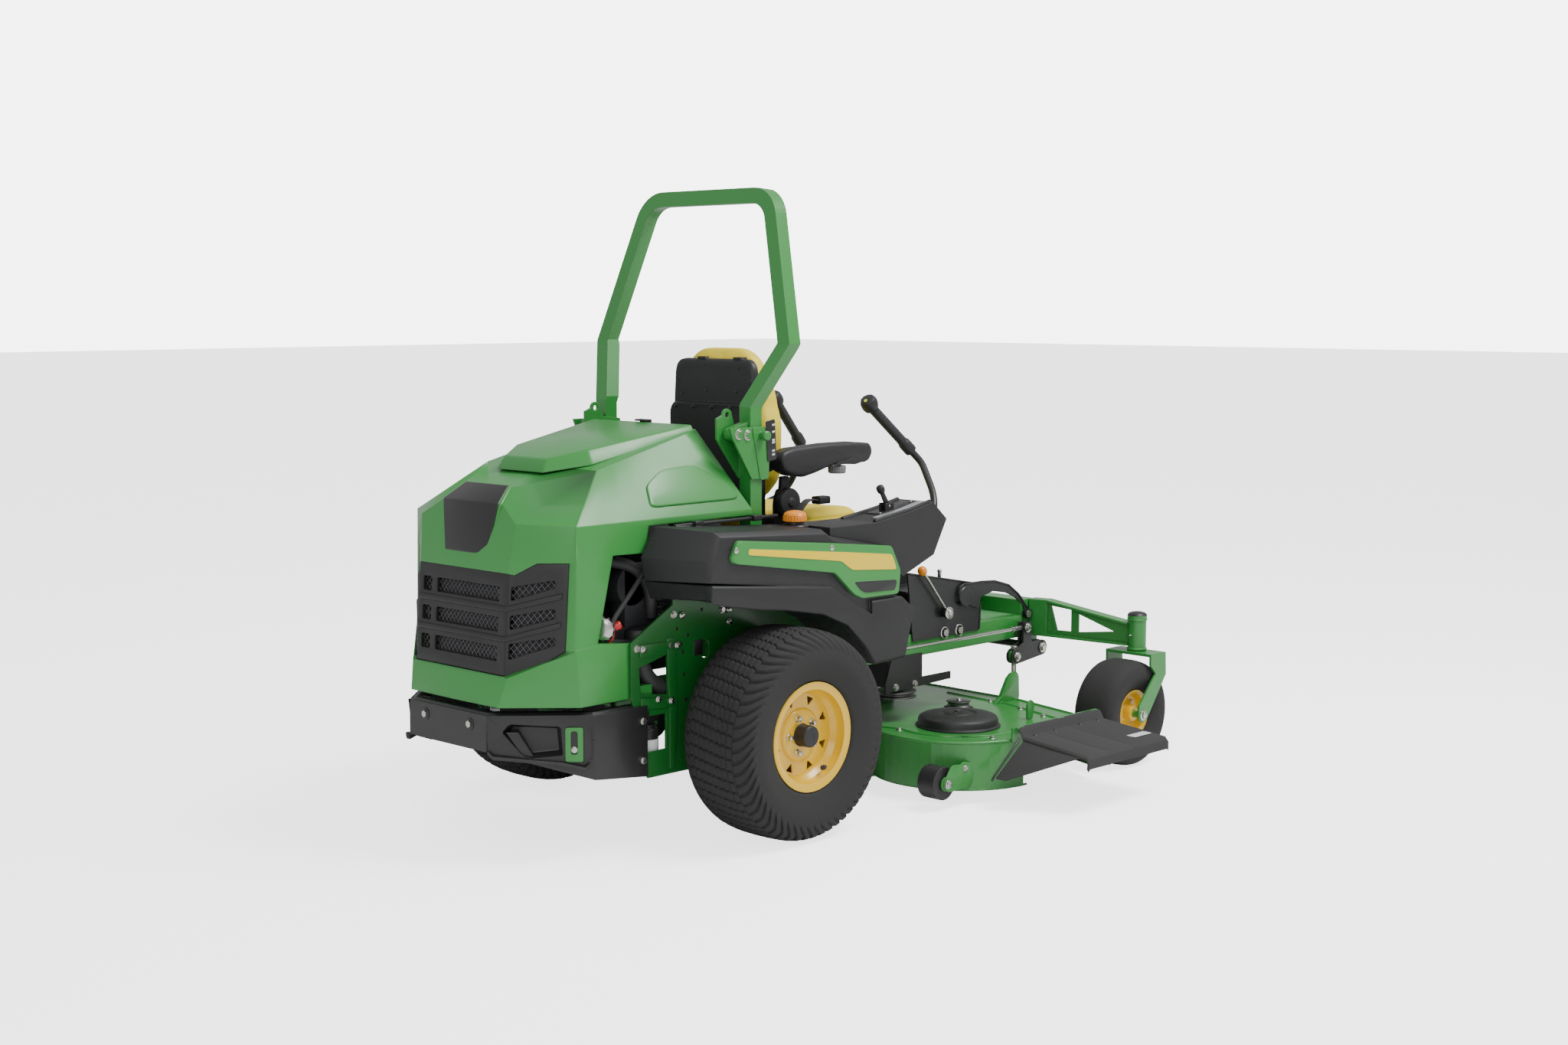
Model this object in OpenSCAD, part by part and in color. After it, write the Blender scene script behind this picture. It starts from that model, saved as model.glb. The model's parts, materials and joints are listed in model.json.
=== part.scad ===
// Zero turn mower with a fold-down roll bar, a tilting rear hood and a side-discharge deck.
// X points forward, Y to the operator's left, Z up. Heights are above level ground.
// Lengths along X count from the drive axle; at_row() then centres the whole machine.

/* [Drive wheels] */
// Overall radius of a drive tyre
tyre_r = 330; // [300:1:345]
// Section width of a drive tyre
tyre_w = 288; // [240:1:300]
// Distance between the middles of the two drive tyres
drive_track = 1172; // [1172:1:1230]
// Radius of the rim's bead seat
rim_r = 152; // [140:1:160]
// Width between the rim's two lips
rim_w = 238; // [200:1:238]
// Height of a rim lip over the bead seat
rim_lip = 19; // [12:1:22]
// Windows round the wheel disc
disc_windows = 8; // [5:1:10]
// Lug bolts round the hub
lug_count = 5; // [4:1:6]
// Radius of the lug bolt circle
lug_circle_r = 57; // [50:1:62]
// Radius of the drive axle shaft
axle_r = 17.5; // [15:0.5:20]

/* [Caster wheels] */
// Overall radius of a caster tyre
caster_r = 190; // [165:1:195]
// Section width of a caster tyre
caster_w = 166; // [130:1:170]
// Radius of the caster rim's bead seat
caster_rim_r = 74; // [65:1:85]
// Distance from the drive axle to the caster axles
wheelbase = 1567; // [1560:1:1650]
// Distance between the middles of the two caster tyres
caster_track = 1474; // [1460:1:1520]
// Distance of a caster axle behind its swivel spindle
caster_trail = 95; // [80:1:100]
// Thickness of the fork's plates
fork_t = 8; // [6:1:10]
// Radius of the swivel spindle
spindle_r = 16; // [14:0.5:18]

/* [Frame] */
// Height of the main rails
rail_h = 80; // [60:1:90]
// Width of the main rails
rail_w = 40; // [30:1:40]
// Outer face of each main rail from the centre line
rail_y = 340; // [335:1:345]
// Underside of the main rails over the ground
rail_z = 425; // [425:1:430]
// Inner face of each rear side plate from the centre line
plate_y = 394; // [390:1:396]
// Thickness of the rear side plates
plate_t = 8; // [6:1:8]

/* [Rear bumper] */
// Rearmost face of the bumper behind the drive axle
bumper_x = 850; // [845:1:900]
// Thickness of the bumper plate
bumper_t = 8; // [6:1:10]
// Top edge of the bumper over the ground
bumper_top = 446; // [430:1:450]

/* [Hood] */
// Half of the hood's width
hood_y = 390; // [380:1:392]
// Thickness of the hood's skin
hood_t = 6; // [4:1:8]
// Width of each grille bar between the rows
grille_bar = 26; // [18:1:34]

/* [Fenders] */
// Outer face of each fender from the centre line
fender_y = 620; // [600:1:640]
// Thickness of the coloured side panel
panel_t = 6; // [4:1:10]
// Radius of the fuel cap
cap_r = 38; // [30:1:44]

/* [Roll bar] */
// Side of the roll bar's square tube
bar_w = 50; // [44:1:52]
// Overall height of the roll bar
bar_top = 2019; // [1950:1:2100]
// Outer radius of the roll bar's top bends
bar_bend_r = 121; // [100:1:140]
// Outer face of the fixed posts from the centre line
post_y = 372; // [370:1:374]
// Rear face of the fixed posts ahead of the axle
post_x = 62; // [58:1:70]

/* [Seat] */
// Half of the seat cushion's width
seat_y = 238; // [220:1:242]
// Underside of the seat cushion over the ground
seat_z = 871; // [871:1:880]
// Thickness of the seat cushion
cushion_t = 92; // [80:1:92]
// Top of the seat back over the ground
back_top = 1508; // [1450:1:1520]
// Thickness of the back cushion
back_t = 118; // [100:1:125]

/* [Deck] */
// Radius of each blade chamber of the deck
chamber_r = 300; // [295:1:310]
// Sideways distance between neighbouring blade spindles
spindle_gap = 520; // [515:1:530]
// Outer spindles ahead of the drive axle
spindle_x = 918; // [910:1:925]
// Lead of the middle spindle over the outer ones
spindle_lead = 150; // [140:1:160]
// Blade length, tip to tip
blade_l = 533; // [500:1:533]
// Lower edge of the deck over the ground
deck_low = 45; // [40:1:55]
// Upper face of the deck over the ground
deck_top = 205; // [200:1:210]
// Thickness of the deck's steel
deck_t = 5; // [4:1:7]
// Radius of the round belt covers
cover_r = 136; // [125:1:145]
// Reach of the discharge chute out of the deck
chute_reach = 300; // [250:1:330]

/* [Lift and levers] */
// Radius of the lift rods
rod_r = 6; // [5:0.5:7]
// Radius of the tube of the control levers
lever_r = 12.5; // [10:0.5:14]
// Radius of the control levers' grips
grip_r = 17; // [15:0.5:19]
// Radius of the ball on the cutting height lever
ball_r = 17; // [12:1:20]

/* [Hidden] */
$fn = 64;

run_gap = 0.05;                 // radial clearance of a shaft in its bore
face_gap = 0.3;                 // clearance between faces that slide on each other
eps = 0.01;
far = 3000;

// Outline of the whole machine, which places the row's origin under its middle.
machine_front = wheelbase + caster_r;
chute_x0 = 850;
chute_x1 = 1304;
hinge_y = chamber_r + spindle_gap;
hinge_z = 243;
machine_right = hinge_y + chute_reach;
bolt_head = 8;
fork_y = caster_w / 2 + 7;      // inner face of a fork plate from the wheel's middle
machine_left = caster_track / 2 + fork_y + fork_t + bolt_head;
bumper_bolt = 7;                // height of the bolt heads on the bumper's rear face
mid_x = (machine_front - bumper_x - bumper_bolt) / 2;
mid_y = (machine_left - machine_right) / 2;

green = "#1f7a35";
dark_green = "#14602a";
yellow = "#f2d21b";
black = "#222326";
steel = "#c4c6c8";
orange = "#f0821e";
dark = "#34363a";

// ---------- helpers ----------

module at_row() translate([-mid_x, -mid_y, 0]) children();

module both() {
    children();
    mirror([0, 1, 0]) children();
}

// Extrudes an outline drawn in X and Z from y0 to y1.
module side_prism(y0, y1) {
    translate([0, y1, 0]) rotate([90, 0, 0]) linear_extrude(y1 - y0) children();
}

// Extrudes an outline drawn in Y and Z from x0 to x1.
module cross_prism(x0, x1) {
    translate([x0, 0, 0]) rotate([90, 0, 90]) linear_extrude(x1 - x0) children();
}

module box(x, y, z) {
    translate([x[0], y[0], z[0]]) cube([x[1] - x[0], y[1] - y[0], z[1] - z[0]]);
}

module y_rod(x, z, y0, y1, r) {
    translate([x, y1, z]) rotate([90, 0, 0]) cylinder(h = y1 - y0, r = r);
}

module x_rod(y, z, x0, x1, r) {
    translate([x0, y, z]) rotate([0, 90, 0]) cylinder(h = x1 - x0, r = r);
}

// Hexagon bolt head standing on a face, its axis along +Y or -Y.
module side_bolt(x, y, z, r = 9, out = -1) {
    translate([x, y, z]) rotate([out < 0 ? 90 : -90, 0, 0]) {
        cylinder(h = 2, r = r * 1.3);
        translate([0, 0, 2]) cylinder(h = bolt_head - 2, r = r, $fn = 6);
    }
}

module rod_between(a, b, r) {
    v = b - a;
    translate(a)
        rotate([0, acos(v[2] / norm(v)), atan2(v[1], v[0])])
            cylinder(h = norm(v), r = r);
}

// Tube through a list of points, with a slightly larger ball at each bend.
module bent_rod(path, r) {
    for (i = [0 : len(path) - 2]) rod_between(path[i], path[i + 1], r);
    for (i = [1 : len(path) - 2]) translate(path[i]) sphere(r = r * 1.05);
}

function side_normal(a, b) = [a[1] - b[1], b[0] - a[0]] / norm(b - a);
function meet(p, u, q, v) =
    p + u * (((q - p)[0] * v[1] - (q - p)[1] * v[0]) / (u[0] * v[1] - u[1] * v[0]));
// A path moved sideways by d, to its left, with mitred corners.
function shifted(p, d) = [
    for (i = [0 : len(p) - 1])
        i == 0 ? p[0] + d * side_normal(p[0], p[1])
        : i == len(p) - 1 ? p[i] + d * side_normal(p[i - 1], p[i])
        : meet(p[i] + d * side_normal(p[i - 1], p[i]), p[i] - p[i - 1],
               p[i] + d * side_normal(p[i], p[i + 1]), p[i + 1] - p[i])];
function reversed(p) = [for (i = [len(p) - 1 : -1 : 0]) p[i]];
function mirrored(p) = [for (q = reversed(p)) [q[0], -q[1]]];
function mirrored_y(p) = [for (q = reversed(p)) [-q[0], q[1]]];
function band(p, d) = concat(p, reversed(shifted(p, d)));
function arc(c, r, from, to, steps = 12) =
    [for (i = [0 : steps]) c + r * [cos(from + (to - from) * i / steps), sin(from + (to - from) * i / steps)]];

// ---------- frame ----------

rail_top = rail_z + rail_h;
rail_rear = -430;
rail_front = 1500;
cross_x = 1500;
cross_d = 80;
plate_out = plate_y + plate_t;
motor_r = 60;

module frame_rails() color(green) at_row() {
    cross_w = 50;
    both() box([rail_rear, rail_front], [rail_y - rail_w, rail_y], [rail_z, rail_top]);
    for (x = [rail_rear, 380])
        box([x, x + cross_w], [-plate_y, plate_y], [rail_z, rail_top]);
    box([760, 810], [-rail_y + rail_w, rail_y - rail_w], [rail_z + 10, rail_top - 10]);
    // guides that carry the lift rods, and hangers of the rock shaft
    both() difference() {
        union() {
            box([640, 655], [rail_y, rod_y + 14], [lift_rod_z - 16, lift_rod_z + 16]);
            box([rock_x - 26, rail_front], [rail_y - 8, rail_y], [rock_z - 24, rail_z]);
            box([rail_front, rock_x + 26], [rail_y - 8, rail_y], [rock_z - 24, rail_z]);
        }
        x_rod(rod_y, lift_rod_z, 600, 700, rod_r + run_gap);
        y_rod(rock_x, rock_z, rail_y - 20, rail_y + 20, rock_r + run_gap);
    }
}

plate_outline = [[-470, 475], [-405, 220], [-237, 220], [120, 255], [300, 400], [430, 425], [430, 505],
    [370, 600], [350, 830], [-300, 830], [-300, 740], [-470, 640]];
engine_window = [[-433, 482], [-322, 466], [-324, 590], [-439, 562]];
filter_window = [[-420, 300], [-330, 300], [-330, 410], [-420, 410]];

module side_plates() color(dark_green) at_row() both() difference() {
    side_prism(plate_y, plate_out) polygon(plate_outline);
    side_prism(plate_y - 1, plate_out + 1) polygon(engine_window);
    side_prism(plate_y - 1, plate_out + 1) polygon(filter_window);
    y_rod(0, tyre_r, plate_y - 1, plate_out + 1, motor_r + 0.2);
    for (z = [575, 600]) y_rod(-165, z, plate_y - 1, plate_out + 1, 16);
    box([-181, -149], [plate_y - 1, plate_out + 1], [575, 600]);
}

// ---------- front axle with the caster arms ----------

swivel_x = wheelbase + caster_trail;
swivel_y = caster_track / 2;
swivel_low = 404;
swivel_high = 517;
swivel_tube_r = 33;
arm_root = [1574, -rail_y];
arm_tip = [swivel_x, -swivel_y];
arm_vec = arm_tip - arm_root;
arm_len = norm(arm_vec);
arm_w = 54;
arm_web = 8;

module caster_arm() {
    root_low = rail_z;
    root_high = 560;
    tip_low = 418;
    tip_high = 502;
    reach = arm_len - swivel_tube_r + 4;
    side = [[-10, root_low], [40, root_low], [reach, tip_low], [reach, tip_high], [60, root_high], [-10, root_high]];
    inner = shifted(side, arm_web);
    window_a = [[95, 448], [150, 448], [150, 528], [70, 538]];
    window_b = [[180, 448], [320, 462], [180, 515]];
    translate([arm_root[0], arm_root[1], 0]) rotate([0, 0, atan2(arm_vec[1], arm_vec[0])]) difference() {
        side_prism(-arm_w / 2, arm_w / 2) polygon(side);
        for (y = [-arm_w / 2 - 1, arm_web / 2])
            side_prism(y, y + arm_w / 2 - arm_web / 2 + 1)
                polygon([[60, root_low + arm_web], [reach + 1, tip_low + arm_web],
                         [reach + 1, tip_high - arm_web], [60, root_high - arm_web]]);
        side_prism(-arm_w, arm_w) polygon(window_a);
        side_prism(-arm_w, arm_w) polygon(window_b);
    }
}

module front_axle() color(green) at_row() {
    box([cross_x, cross_x + cross_d], [-rail_y + 8.5, rail_y - 8.5], [rail_z, 560]);
    both() difference() {
        union() {
            caster_arm();
            translate([swivel_x, -swivel_y, swivel_low])
                cylinder(h = swivel_high - swivel_low, r = swivel_tube_r);
            box([cross_x + 58, cross_x + cross_d], [-rail_y - 6, -rail_y + 12], [rail_z, 560]);
        }
        translate([swivel_x, -swivel_y, swivel_low - 1])
            cylinder(h = swivel_high - swivel_low + 2, r = spindle_r + run_gap);
    }
}

// ---------- rear bumper ----------

hood_pin = [-818, 462];
bumper_plan = [[-412, 410], [-620, 410], [-bumper_x, 192], [-bumper_x, -192], [-620, -410], [-412, -410]];

module bumper_plate(a, b, low_a, low_b) {
    v = b - a;
    translate([a[0], a[1], 0]) rotate([0, 0, atan2(v[1], v[0])])
        translate([0, bumper_t, 0]) rotate([90, 0, 0]) linear_extrude(bumper_t)
            polygon([[0, low_a], [norm(v), low_b], [norm(v), bumper_top], [0, bumper_top]]);
}

module rear_bumper() color(black) at_row() {
    lows = [228, 251, 336, 336, 251, 228];
    lip = 40;
    for (i = [0 : 4])
        bumper_plate(bumper_plan[i], bumper_plan[i + 1], lows[i], lows[i + 1]);
    translate([0, 0, bumper_top - bumper_t]) linear_extrude(bumper_t)
        polygon(band([for (i = [1 : 4]) bumper_plan[i]], lip));
    // ears and pins of the hood's hinge
    both() {
        for (y = [105, 150.5]) {
            box([hood_pin[0] - 8, hood_pin[0] + 8], [y, y + 14.5], [bumper_top - 2, hood_pin[1]]);
            y_rod(hood_pin[0], hood_pin[1], y, y + 14.5, 8);
        }
        y_rod(hood_pin[0], hood_pin[1], 106, 164, 5);
    }
    // green tie-down plates, one on each slanted side
    both() translate([-735, -301, 376]) rotate([0, 0, atan2(-218, 230)]) difference() {
        box([-28, 28], [-6, 0], [-48, 48]);
        box([-9, 9], [-7, 1], [-20, 20]);
        for (z = [-20, 20]) y_rod(0, z, -7, 1, 9);
    }
}

// ---------- fenders, side panels, consoles ----------

fender_in = plate_out;
fender_outline = [[-372, 984], [-430, 895], [-415, 816], [-392, 765], [-300, 762], [-150, 735], [-40, 724],
    [120, 710], [240, 650], [330, 560], [374, 498], [517, 504], [557, 668], [497, 711], [470, 868],
    [190, 925], [150, 950]];
cap_x = 170;
cap_y = 462;
cap_z = 962;

module fender() {
    difference() {
        side_prism(fender_in, fender_y) polygon(fender_outline);
        // the fender's wheel well leaves only a skin on its outer side
        side_prism(fender_in - 1, fender_y - 40)
            polygon([[-340, 700], [-340, 830], [330, 830], [500, 700], [500, 400], [-340, 400]]);
        // the rear end slants in towards the hood
        translate([0, 0, 700]) linear_extrude(400)
            polygon([[-431, 424], [-324, fender_y + 1], [-324, far], [-600, far], [-600, 424]]);
    }
    side_prism(fender_in, fender_y)
        polygon([[374, 498], [517, 504], [557, 668], [497, 711], [330, 835], [320, 700]]);
}

module fender_right() color(black) at_row() mirror([0, 1, 0]) {
    fender();
    translate([cap_x, cap_y, cap_z - 45]) cylinder(h = 45 - face_gap, r = cap_r - 8);
}

module fender_left() color(black) at_row() fender();

module fender_panels() color(green) at_row() both()
    side_prism(fender_y, fender_y + panel_t)
        polygon([[-247, 940], [-268, 880], [90, 838], [150, 800], [314, 717], [480, 716], [464, 862], [180, 912]]);

module fuel_cap() color(orange) at_row() translate([cap_x, -cap_y, cap_z]) {
    cylinder(h = 26, r = cap_r);
    translate([0, 0, 26]) cylinder(h = 12, r1 = cap_r, r2 = cap_r - 12);
}

console_top = [[212, 948], [212, 920.6], [470, 868.02], [560, 760], [717, 819], [782, 934], [710, 995],
    [600, 972], [433, 948]];
pivot_x = 765;
pivot_z = 848;
pivot_y = 425;
ear_t = 6;
pin_r = 8;
block = 34;
throttle_x = 580;
throttle_y = 485;
throttle_z = 985;

module consoles() color(black) at_row() {
    both() console();
    // two ears that carry the throttle lever
    mirror([0, 1, 0]) difference() {
        for (y = [throttle_y - 15, throttle_y + 9]) box([560, 600], [y, y + 6], [955, 995]);
        y_rod(throttle_x, throttle_z, throttle_y - 25, throttle_y + 25, 4 + run_gap);
    }
}

module console() difference() {
    union() {
        side_prism(fender_in, 575) polygon(console_top);
        // two ears that carry the control lever's pivot block
        for (y = [pivot_y - block / 2 - face_gap - ear_t, pivot_y + block / 2 + face_gap])
            side_prism(y, y + ear_t)
                polygon([[690, 800], [pivot_x + 16, 800], [pivot_x + 16, 866], [690, 866]]);
        box([690, 740], [pivot_y - block / 2 - ear_t - face_gap, fender_in + 1], [800, 866]);
    }
    y_rod(pivot_x, pivot_z, pivot_y - block, pivot_y + block, pin_r + run_gap);
    box([736, far], [pivot_y - block / 2 - face_gap, pivot_y + block / 2 + face_gap], [700, 1100]);
}

module throttle_lever() color(black) at_row() mirror([0, 1, 0]) {
    y_rod(throttle_x, throttle_z, throttle_y - 16, throttle_y + 16, 4);
    side_prism(throttle_y - 5, throttle_y + 5)
        polygon([[570, 975], [590, 975], [590, 995], [560, 1040], [546, 1036], [570, 992]]);
    translate([550, throttle_y, 1040]) sphere(r = 13);
}

// ---------- roll bar ----------

fold_x = 4;
fold_z = 1241;
split_z = 1186;
gusset_t = 8;
gusset = [[-36, 1262], [-20, 1225], [60, 1098], [132, 1094], [134, 1171], [118, 1262]];
inner_lug = concat([[-36, 1225], [60, 1098], [132, 1094], [134, 1171], [118, 1262], [40, 1270]],
    arc([10, 1300], 20, 0, 180, 8), [[-36, 1290]]);

module rops_posts() color(green) at_row() both() {
    difference() {
        union() {
            box([post_x, post_x + bar_w], [post_y - bar_w, post_y], [rail_top + 40, split_z - face_gap]);
            box([post_x - 20, post_x + bar_w + 20], [post_y, plate_y], [rail_top + 60, 800]);
            side_prism(post_y + 0.5, post_y + 0.5 + gusset_t) polygon(gusset);
            side_prism(post_y - bar_w - 0.5 - gusset_t, post_y - bar_w - 0.5) polygon(inner_lug);
            for (y = [post_y, post_y - bar_w - 0.5])
                box([post_x, post_x + bar_w], [y, y + 0.5], [1100, split_z - face_gap]);
        }
        y_rod(10, 1300, 250, 340, 9);
        for (z = [1121, 1167]) y_rod(107, z, post_y, post_y + 20, 6);
        box([101, 113], [post_y + 0.1, post_y + 20], [1121, 1167]);
    }
    // fold pivot, stop bolt and the drawn lock pin
    y_rod(fold_x, fold_z, post_y - bar_w - 12, post_y + 12, pin_r);
    side_bolt(fold_x, post_y + 0.5 + gusset_t, fold_z, 12, 1);
    side_bolt(43, post_y + 0.5 + gusset_t, 1237, 12, 1);
    y_rod(100, 1234, post_y + 0.5 + gusset_t, post_y + 34, 11);
}

bar_lean = atan2(115, 367);
bar_corner = [461 - (bar_top - 1522) * tan(bar_lean), bar_top];

// Half outline of the hoop in Y and Z, at depth d under its outer face, with its round bend.
function hoop_half(d) =
    let (leg = shifted([[post_y, split_z], [post_y, 1325], [461, 1522], bar_corner, [0, bar_top]], d),
         r = bar_bend_r - d,
         cut = r * tan((90 - bar_lean) / 2),
         c = leg[3] + [-cut, -r])
    concat([leg[0], leg[1], leg[2]], arc(c, r, bar_lean, 90, 10), [[0, bar_top - d]]);

hoop_side = [[post_x, split_z], [post_x, 1325], [146, 1522], [230, bar_top + 1]];

module rops_hoop() color(green) at_row() {
    difference() {
        union() {
            intersection() {
                cross_prism(0, 400)
                    polygon(concat(hoop_half(0), mirrored_y(hoop_half(0)),
                        reversed(mirrored_y(hoop_half(bar_w))), reversed(hoop_half(bar_w))));
                side_prism(-600, 600) polygon(band(hoop_side, -bar_w));
            }
            // lugs that reach back to the fold pivot
            both() side_prism(post_y - bar_w + 8, post_y - 8)
                polygon(concat([[post_x + 10, split_z + 20], [post_x + 10, fold_z + 40]],
                    arc([fold_x, fold_z], 20, 100, 260, 10)));
        }
        y_rod(fold_x, fold_z, -500, 500, pin_r + run_gap);
    }
}

// ---------- engine and drive ----------

module engine() color(dark) at_row() {
    box([-560, -120], [-215, 215], [rail_top, 760]);
    box([-520, -160], [-150, 150], [760, 880]);
    x_rod(0, 800, -700, -560, 150);
    x_rod(-250, 560, -500, -300, 45);
    y_rod(-470, 640, -330, -215, 52);
    y_rod(-400, 800, -330, -150, 60);
    // filter seen low in the side plate's window
    translate([-375, -330, 300]) cylinder(h = rail_z - 300, r = 38);
}

module drive_units() color(black) at_row() both() difference() {
    union() {
        y_rod(0, tyre_r, 300, drive_track / 2 - 30, motor_r);
        box([-75, 75], [180, 300], [tyre_r - 75, rail_z]);
        box([-75, 75], [300, plate_y], [rail_z - 70, rail_z]);
    }
    y_rod(0, tyre_r, 310, far, axle_r + run_gap);
}

// ---------- drive wheels ----------

wheel_y = drive_track / 2;
disc_in = 56;                    // inner face of the disc, outboard of the tyre's middle
disc_t = 6;
lip_t = 9;

// Tyre section in radius and width, mirrored about its middle.
function tyre_half(r, w, bead, seat_w) = let (h = r - bead) [
    [bead, 0], [bead, seat_w / 2], [bead + 20, seat_w / 2], [bead + 26, seat_w / 2 + lip_t],
    [bead + 0.45 * h, w / 2 - 3], [bead + 0.6 * h, w / 2], [bead + 0.75 * h, w / 2 - 2],
    [bead + 0.88 * h, 0.43 * w], [bead + 0.96 * h, 0.34 * w], [r, w / 4], [r, 0]];

module tyre(r, w, bead, seat_w) {
    half = tyre_half(r, w, bead, seat_w);
    rotate([90, 0, 0]) rotate_extrude($fn = 96)
        polygon(concat(half, [for (i = [len(half) - 2 : -1 : 1]) [half[i][0], -half[i][1]]]));
}

// Rim with its barrel, lips and a pierced disc, outboard towards -Y.
module drive_rim() {
    difference() {
        union() {
            rotate([90, 0, 0]) rotate_extrude($fn = 96) {
                polygon([[rim_r - 6, -rim_w / 2], [rim_r + rim_lip, -rim_w / 2],
                    [rim_r + rim_lip, -rim_w / 2 + lip_t - 1], [rim_r, -rim_w / 2 + lip_t - 1],
                    [rim_r, rim_w / 2 - lip_t + 1], [rim_r + rim_lip, rim_w / 2 - lip_t + 1],
                    [rim_r + rim_lip, rim_w / 2], [rim_r - 6, rim_w / 2]]);
                translate([axle_r + 20, disc_in]) square([rim_r - 5 - axle_r - 20, disc_t]);
            }
        }
        for (i = [0 : disc_windows - 1])
            rotate([0, i * 360 / disc_windows, 0]) side_prism(-disc_in - disc_t - 1, -disc_in + 1)
                polygon([[90, 0], [125, 22], [125, -22]]);
    }
}

module tyre_right() color(black) at_row() translate([0, -wheel_y, tyre_r])
    tyre(tyre_r, tyre_w, rim_r, rim_w - 2 * lip_t + 2);
module tyre_left() color(black) at_row() translate([0, wheel_y, tyre_r])
    tyre(tyre_r, tyre_w, rim_r, rim_w - 2 * lip_t + 2);
module rim_right() color(yellow) at_row() translate([0, -wheel_y, tyre_r]) drive_rim();
module rim_left() color(yellow) at_row() translate([0, wheel_y, tyre_r]) mirror([0, 1, 0]) drive_rim();

// Hub flange with its shaft, the black cap and the lug bolts.
module hub() {
    y_rod(0, 0, -disc_in, 240, axle_r);
    y_rod(0, 0, -disc_in, -disc_in + 14, 76);
    y_rod(0, 0, -disc_in - disc_t - 1, -disc_in + 1, axle_r + 20);
    y_rod(0, 0, -disc_in - disc_t - 46, -disc_in - disc_t, 33);
    for (i = [0 : lug_count - 1]) rotate([0, i * 360 / lug_count, 0])
        side_bolt(lug_circle_r, -disc_in - disc_t, 0, 9);
}

module hub_right() color(steel) at_row() translate([0, -wheel_y, tyre_r]) hub();
module hub_left() color(steel) at_row() translate([0, wheel_y, tyre_r]) mirror([0, 1, 0]) hub();

// ---------- casters ----------

fork_top = 392;
fork_side = concat([[-52, fork_top + 10], [40, fork_top + 10], [44, 322], [-72, 172]],
    arc([-caster_trail, caster_r], 26, -45, -180, 8), [[-118, 225], [-20, 330], [-52, 362]]);

module caster_fork() translate([swivel_x, swivel_y, 0]) {
    for (y = [-fork_y - fork_t, fork_y]) side_prism(y, y + fork_t) polygon(fork_side);
    box([-52, 40], [-fork_y, fork_y], [fork_top, fork_top + 10]);
    translate([0, 0, fork_top + 10]) cylinder(h = swivel_high - fork_top + 4, r = spindle_r);
    translate([0, 0, swivel_high + face_gap]) cylinder(h = 12, r = swivel_tube_r + 2);
    y_rod(-caster_trail, caster_r, -fork_y - 1, fork_y + 1, 12);
    side_bolt(-caster_trail, fork_y + fork_t, caster_r, 13, 1);
    side_bolt(-caster_trail, -fork_y - fork_t, caster_r, 13, -1);
}

module caster_rim() rotate([90, 0, 0]) rotate_extrude($fn = 80)
    polygon([[12 + run_gap, -60], [30, -60], [30, -20], [caster_rim_r - 5, -10],
        [caster_rim_r - 5, -62], [caster_rim_r + 12, -62], [caster_rim_r + 12, -54],
        [caster_rim_r, -54], [caster_rim_r, 54], [caster_rim_r + 12, 54], [caster_rim_r + 12, 62],
        [caster_rim_r - 5, 62], [caster_rim_r - 5, 10], [30, 20], [30, 60], [12 + run_gap, 60]]);

module caster_place() translate([wheelbase, swivel_y, caster_r]) children();

module caster_fork_left() color(green) at_row() caster_fork();
module caster_tyre_left() color(black) at_row() caster_place() tyre(caster_r, caster_w, caster_rim_r, 108);
module caster_rim_left() color(yellow) at_row() caster_place() caster_rim();
module caster_fork_right() color(green) at_row() mirror([0, 1, 0]) caster_fork();
module caster_tyre_right() color(black) at_row() mirror([0, 1, 0]) caster_place()
    tyre(caster_r, caster_w, caster_rim_r, 108);
module caster_rim_right() color(yellow) at_row() mirror([0, 1, 0]) caster_place() caster_rim();

// ---------- hood ----------

hood_low = 472;
hood_open = 985;
latch_pin = [-46, 1262];

// Corners of the hood's upper body, moved inwards by g.
function hood_body(g) = [for (s = [-1, 1], p = [
    [-800 + g, 209, 545], [-775 + g, 216, 856], [-767 + g, 227, 1005], [-691 + g, 103, 1091 - g],
    [-675 + g, hood_y - g, 545], [-671 + g, hood_y - g, 1005], [-560 + g, 120, 1148 - g],
    [-478 + g, 250 - g / 2, 1150 - g], [50, hood_y - g, 545], [50, hood_y - g, 1005],
    [-62, 253 - g / 2, 1255 - g], [50, 253 - g / 2, 1010], [-62, 100, 1262 - g]]) [p[0], s * p[1], p[2]]];
function hood_skirt(g) = [for (s = [-1, 1], p = [
    [-830 + g, 207, hood_low], [-678 + g, hood_y - g, hood_low], [-440, hood_y - g, hood_low],
    [-800 + g, 209, 545 + eps], [-675 + g, hood_y - g, 545 + eps], [-440, hood_y - g, 545 + eps]])
    [p[0], s * p[1], p[2]]];
scoop = [for (s = [-1, 1], p = [[-560, 120, 1146], [-528, 113, 1183], [-62, 253, 1250], [-62, 240, 1271]])
    [p[0], s * p[1], p[2]]];

module hull_of(points) hull() for (p = points) translate(p) cube(eps);

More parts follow.
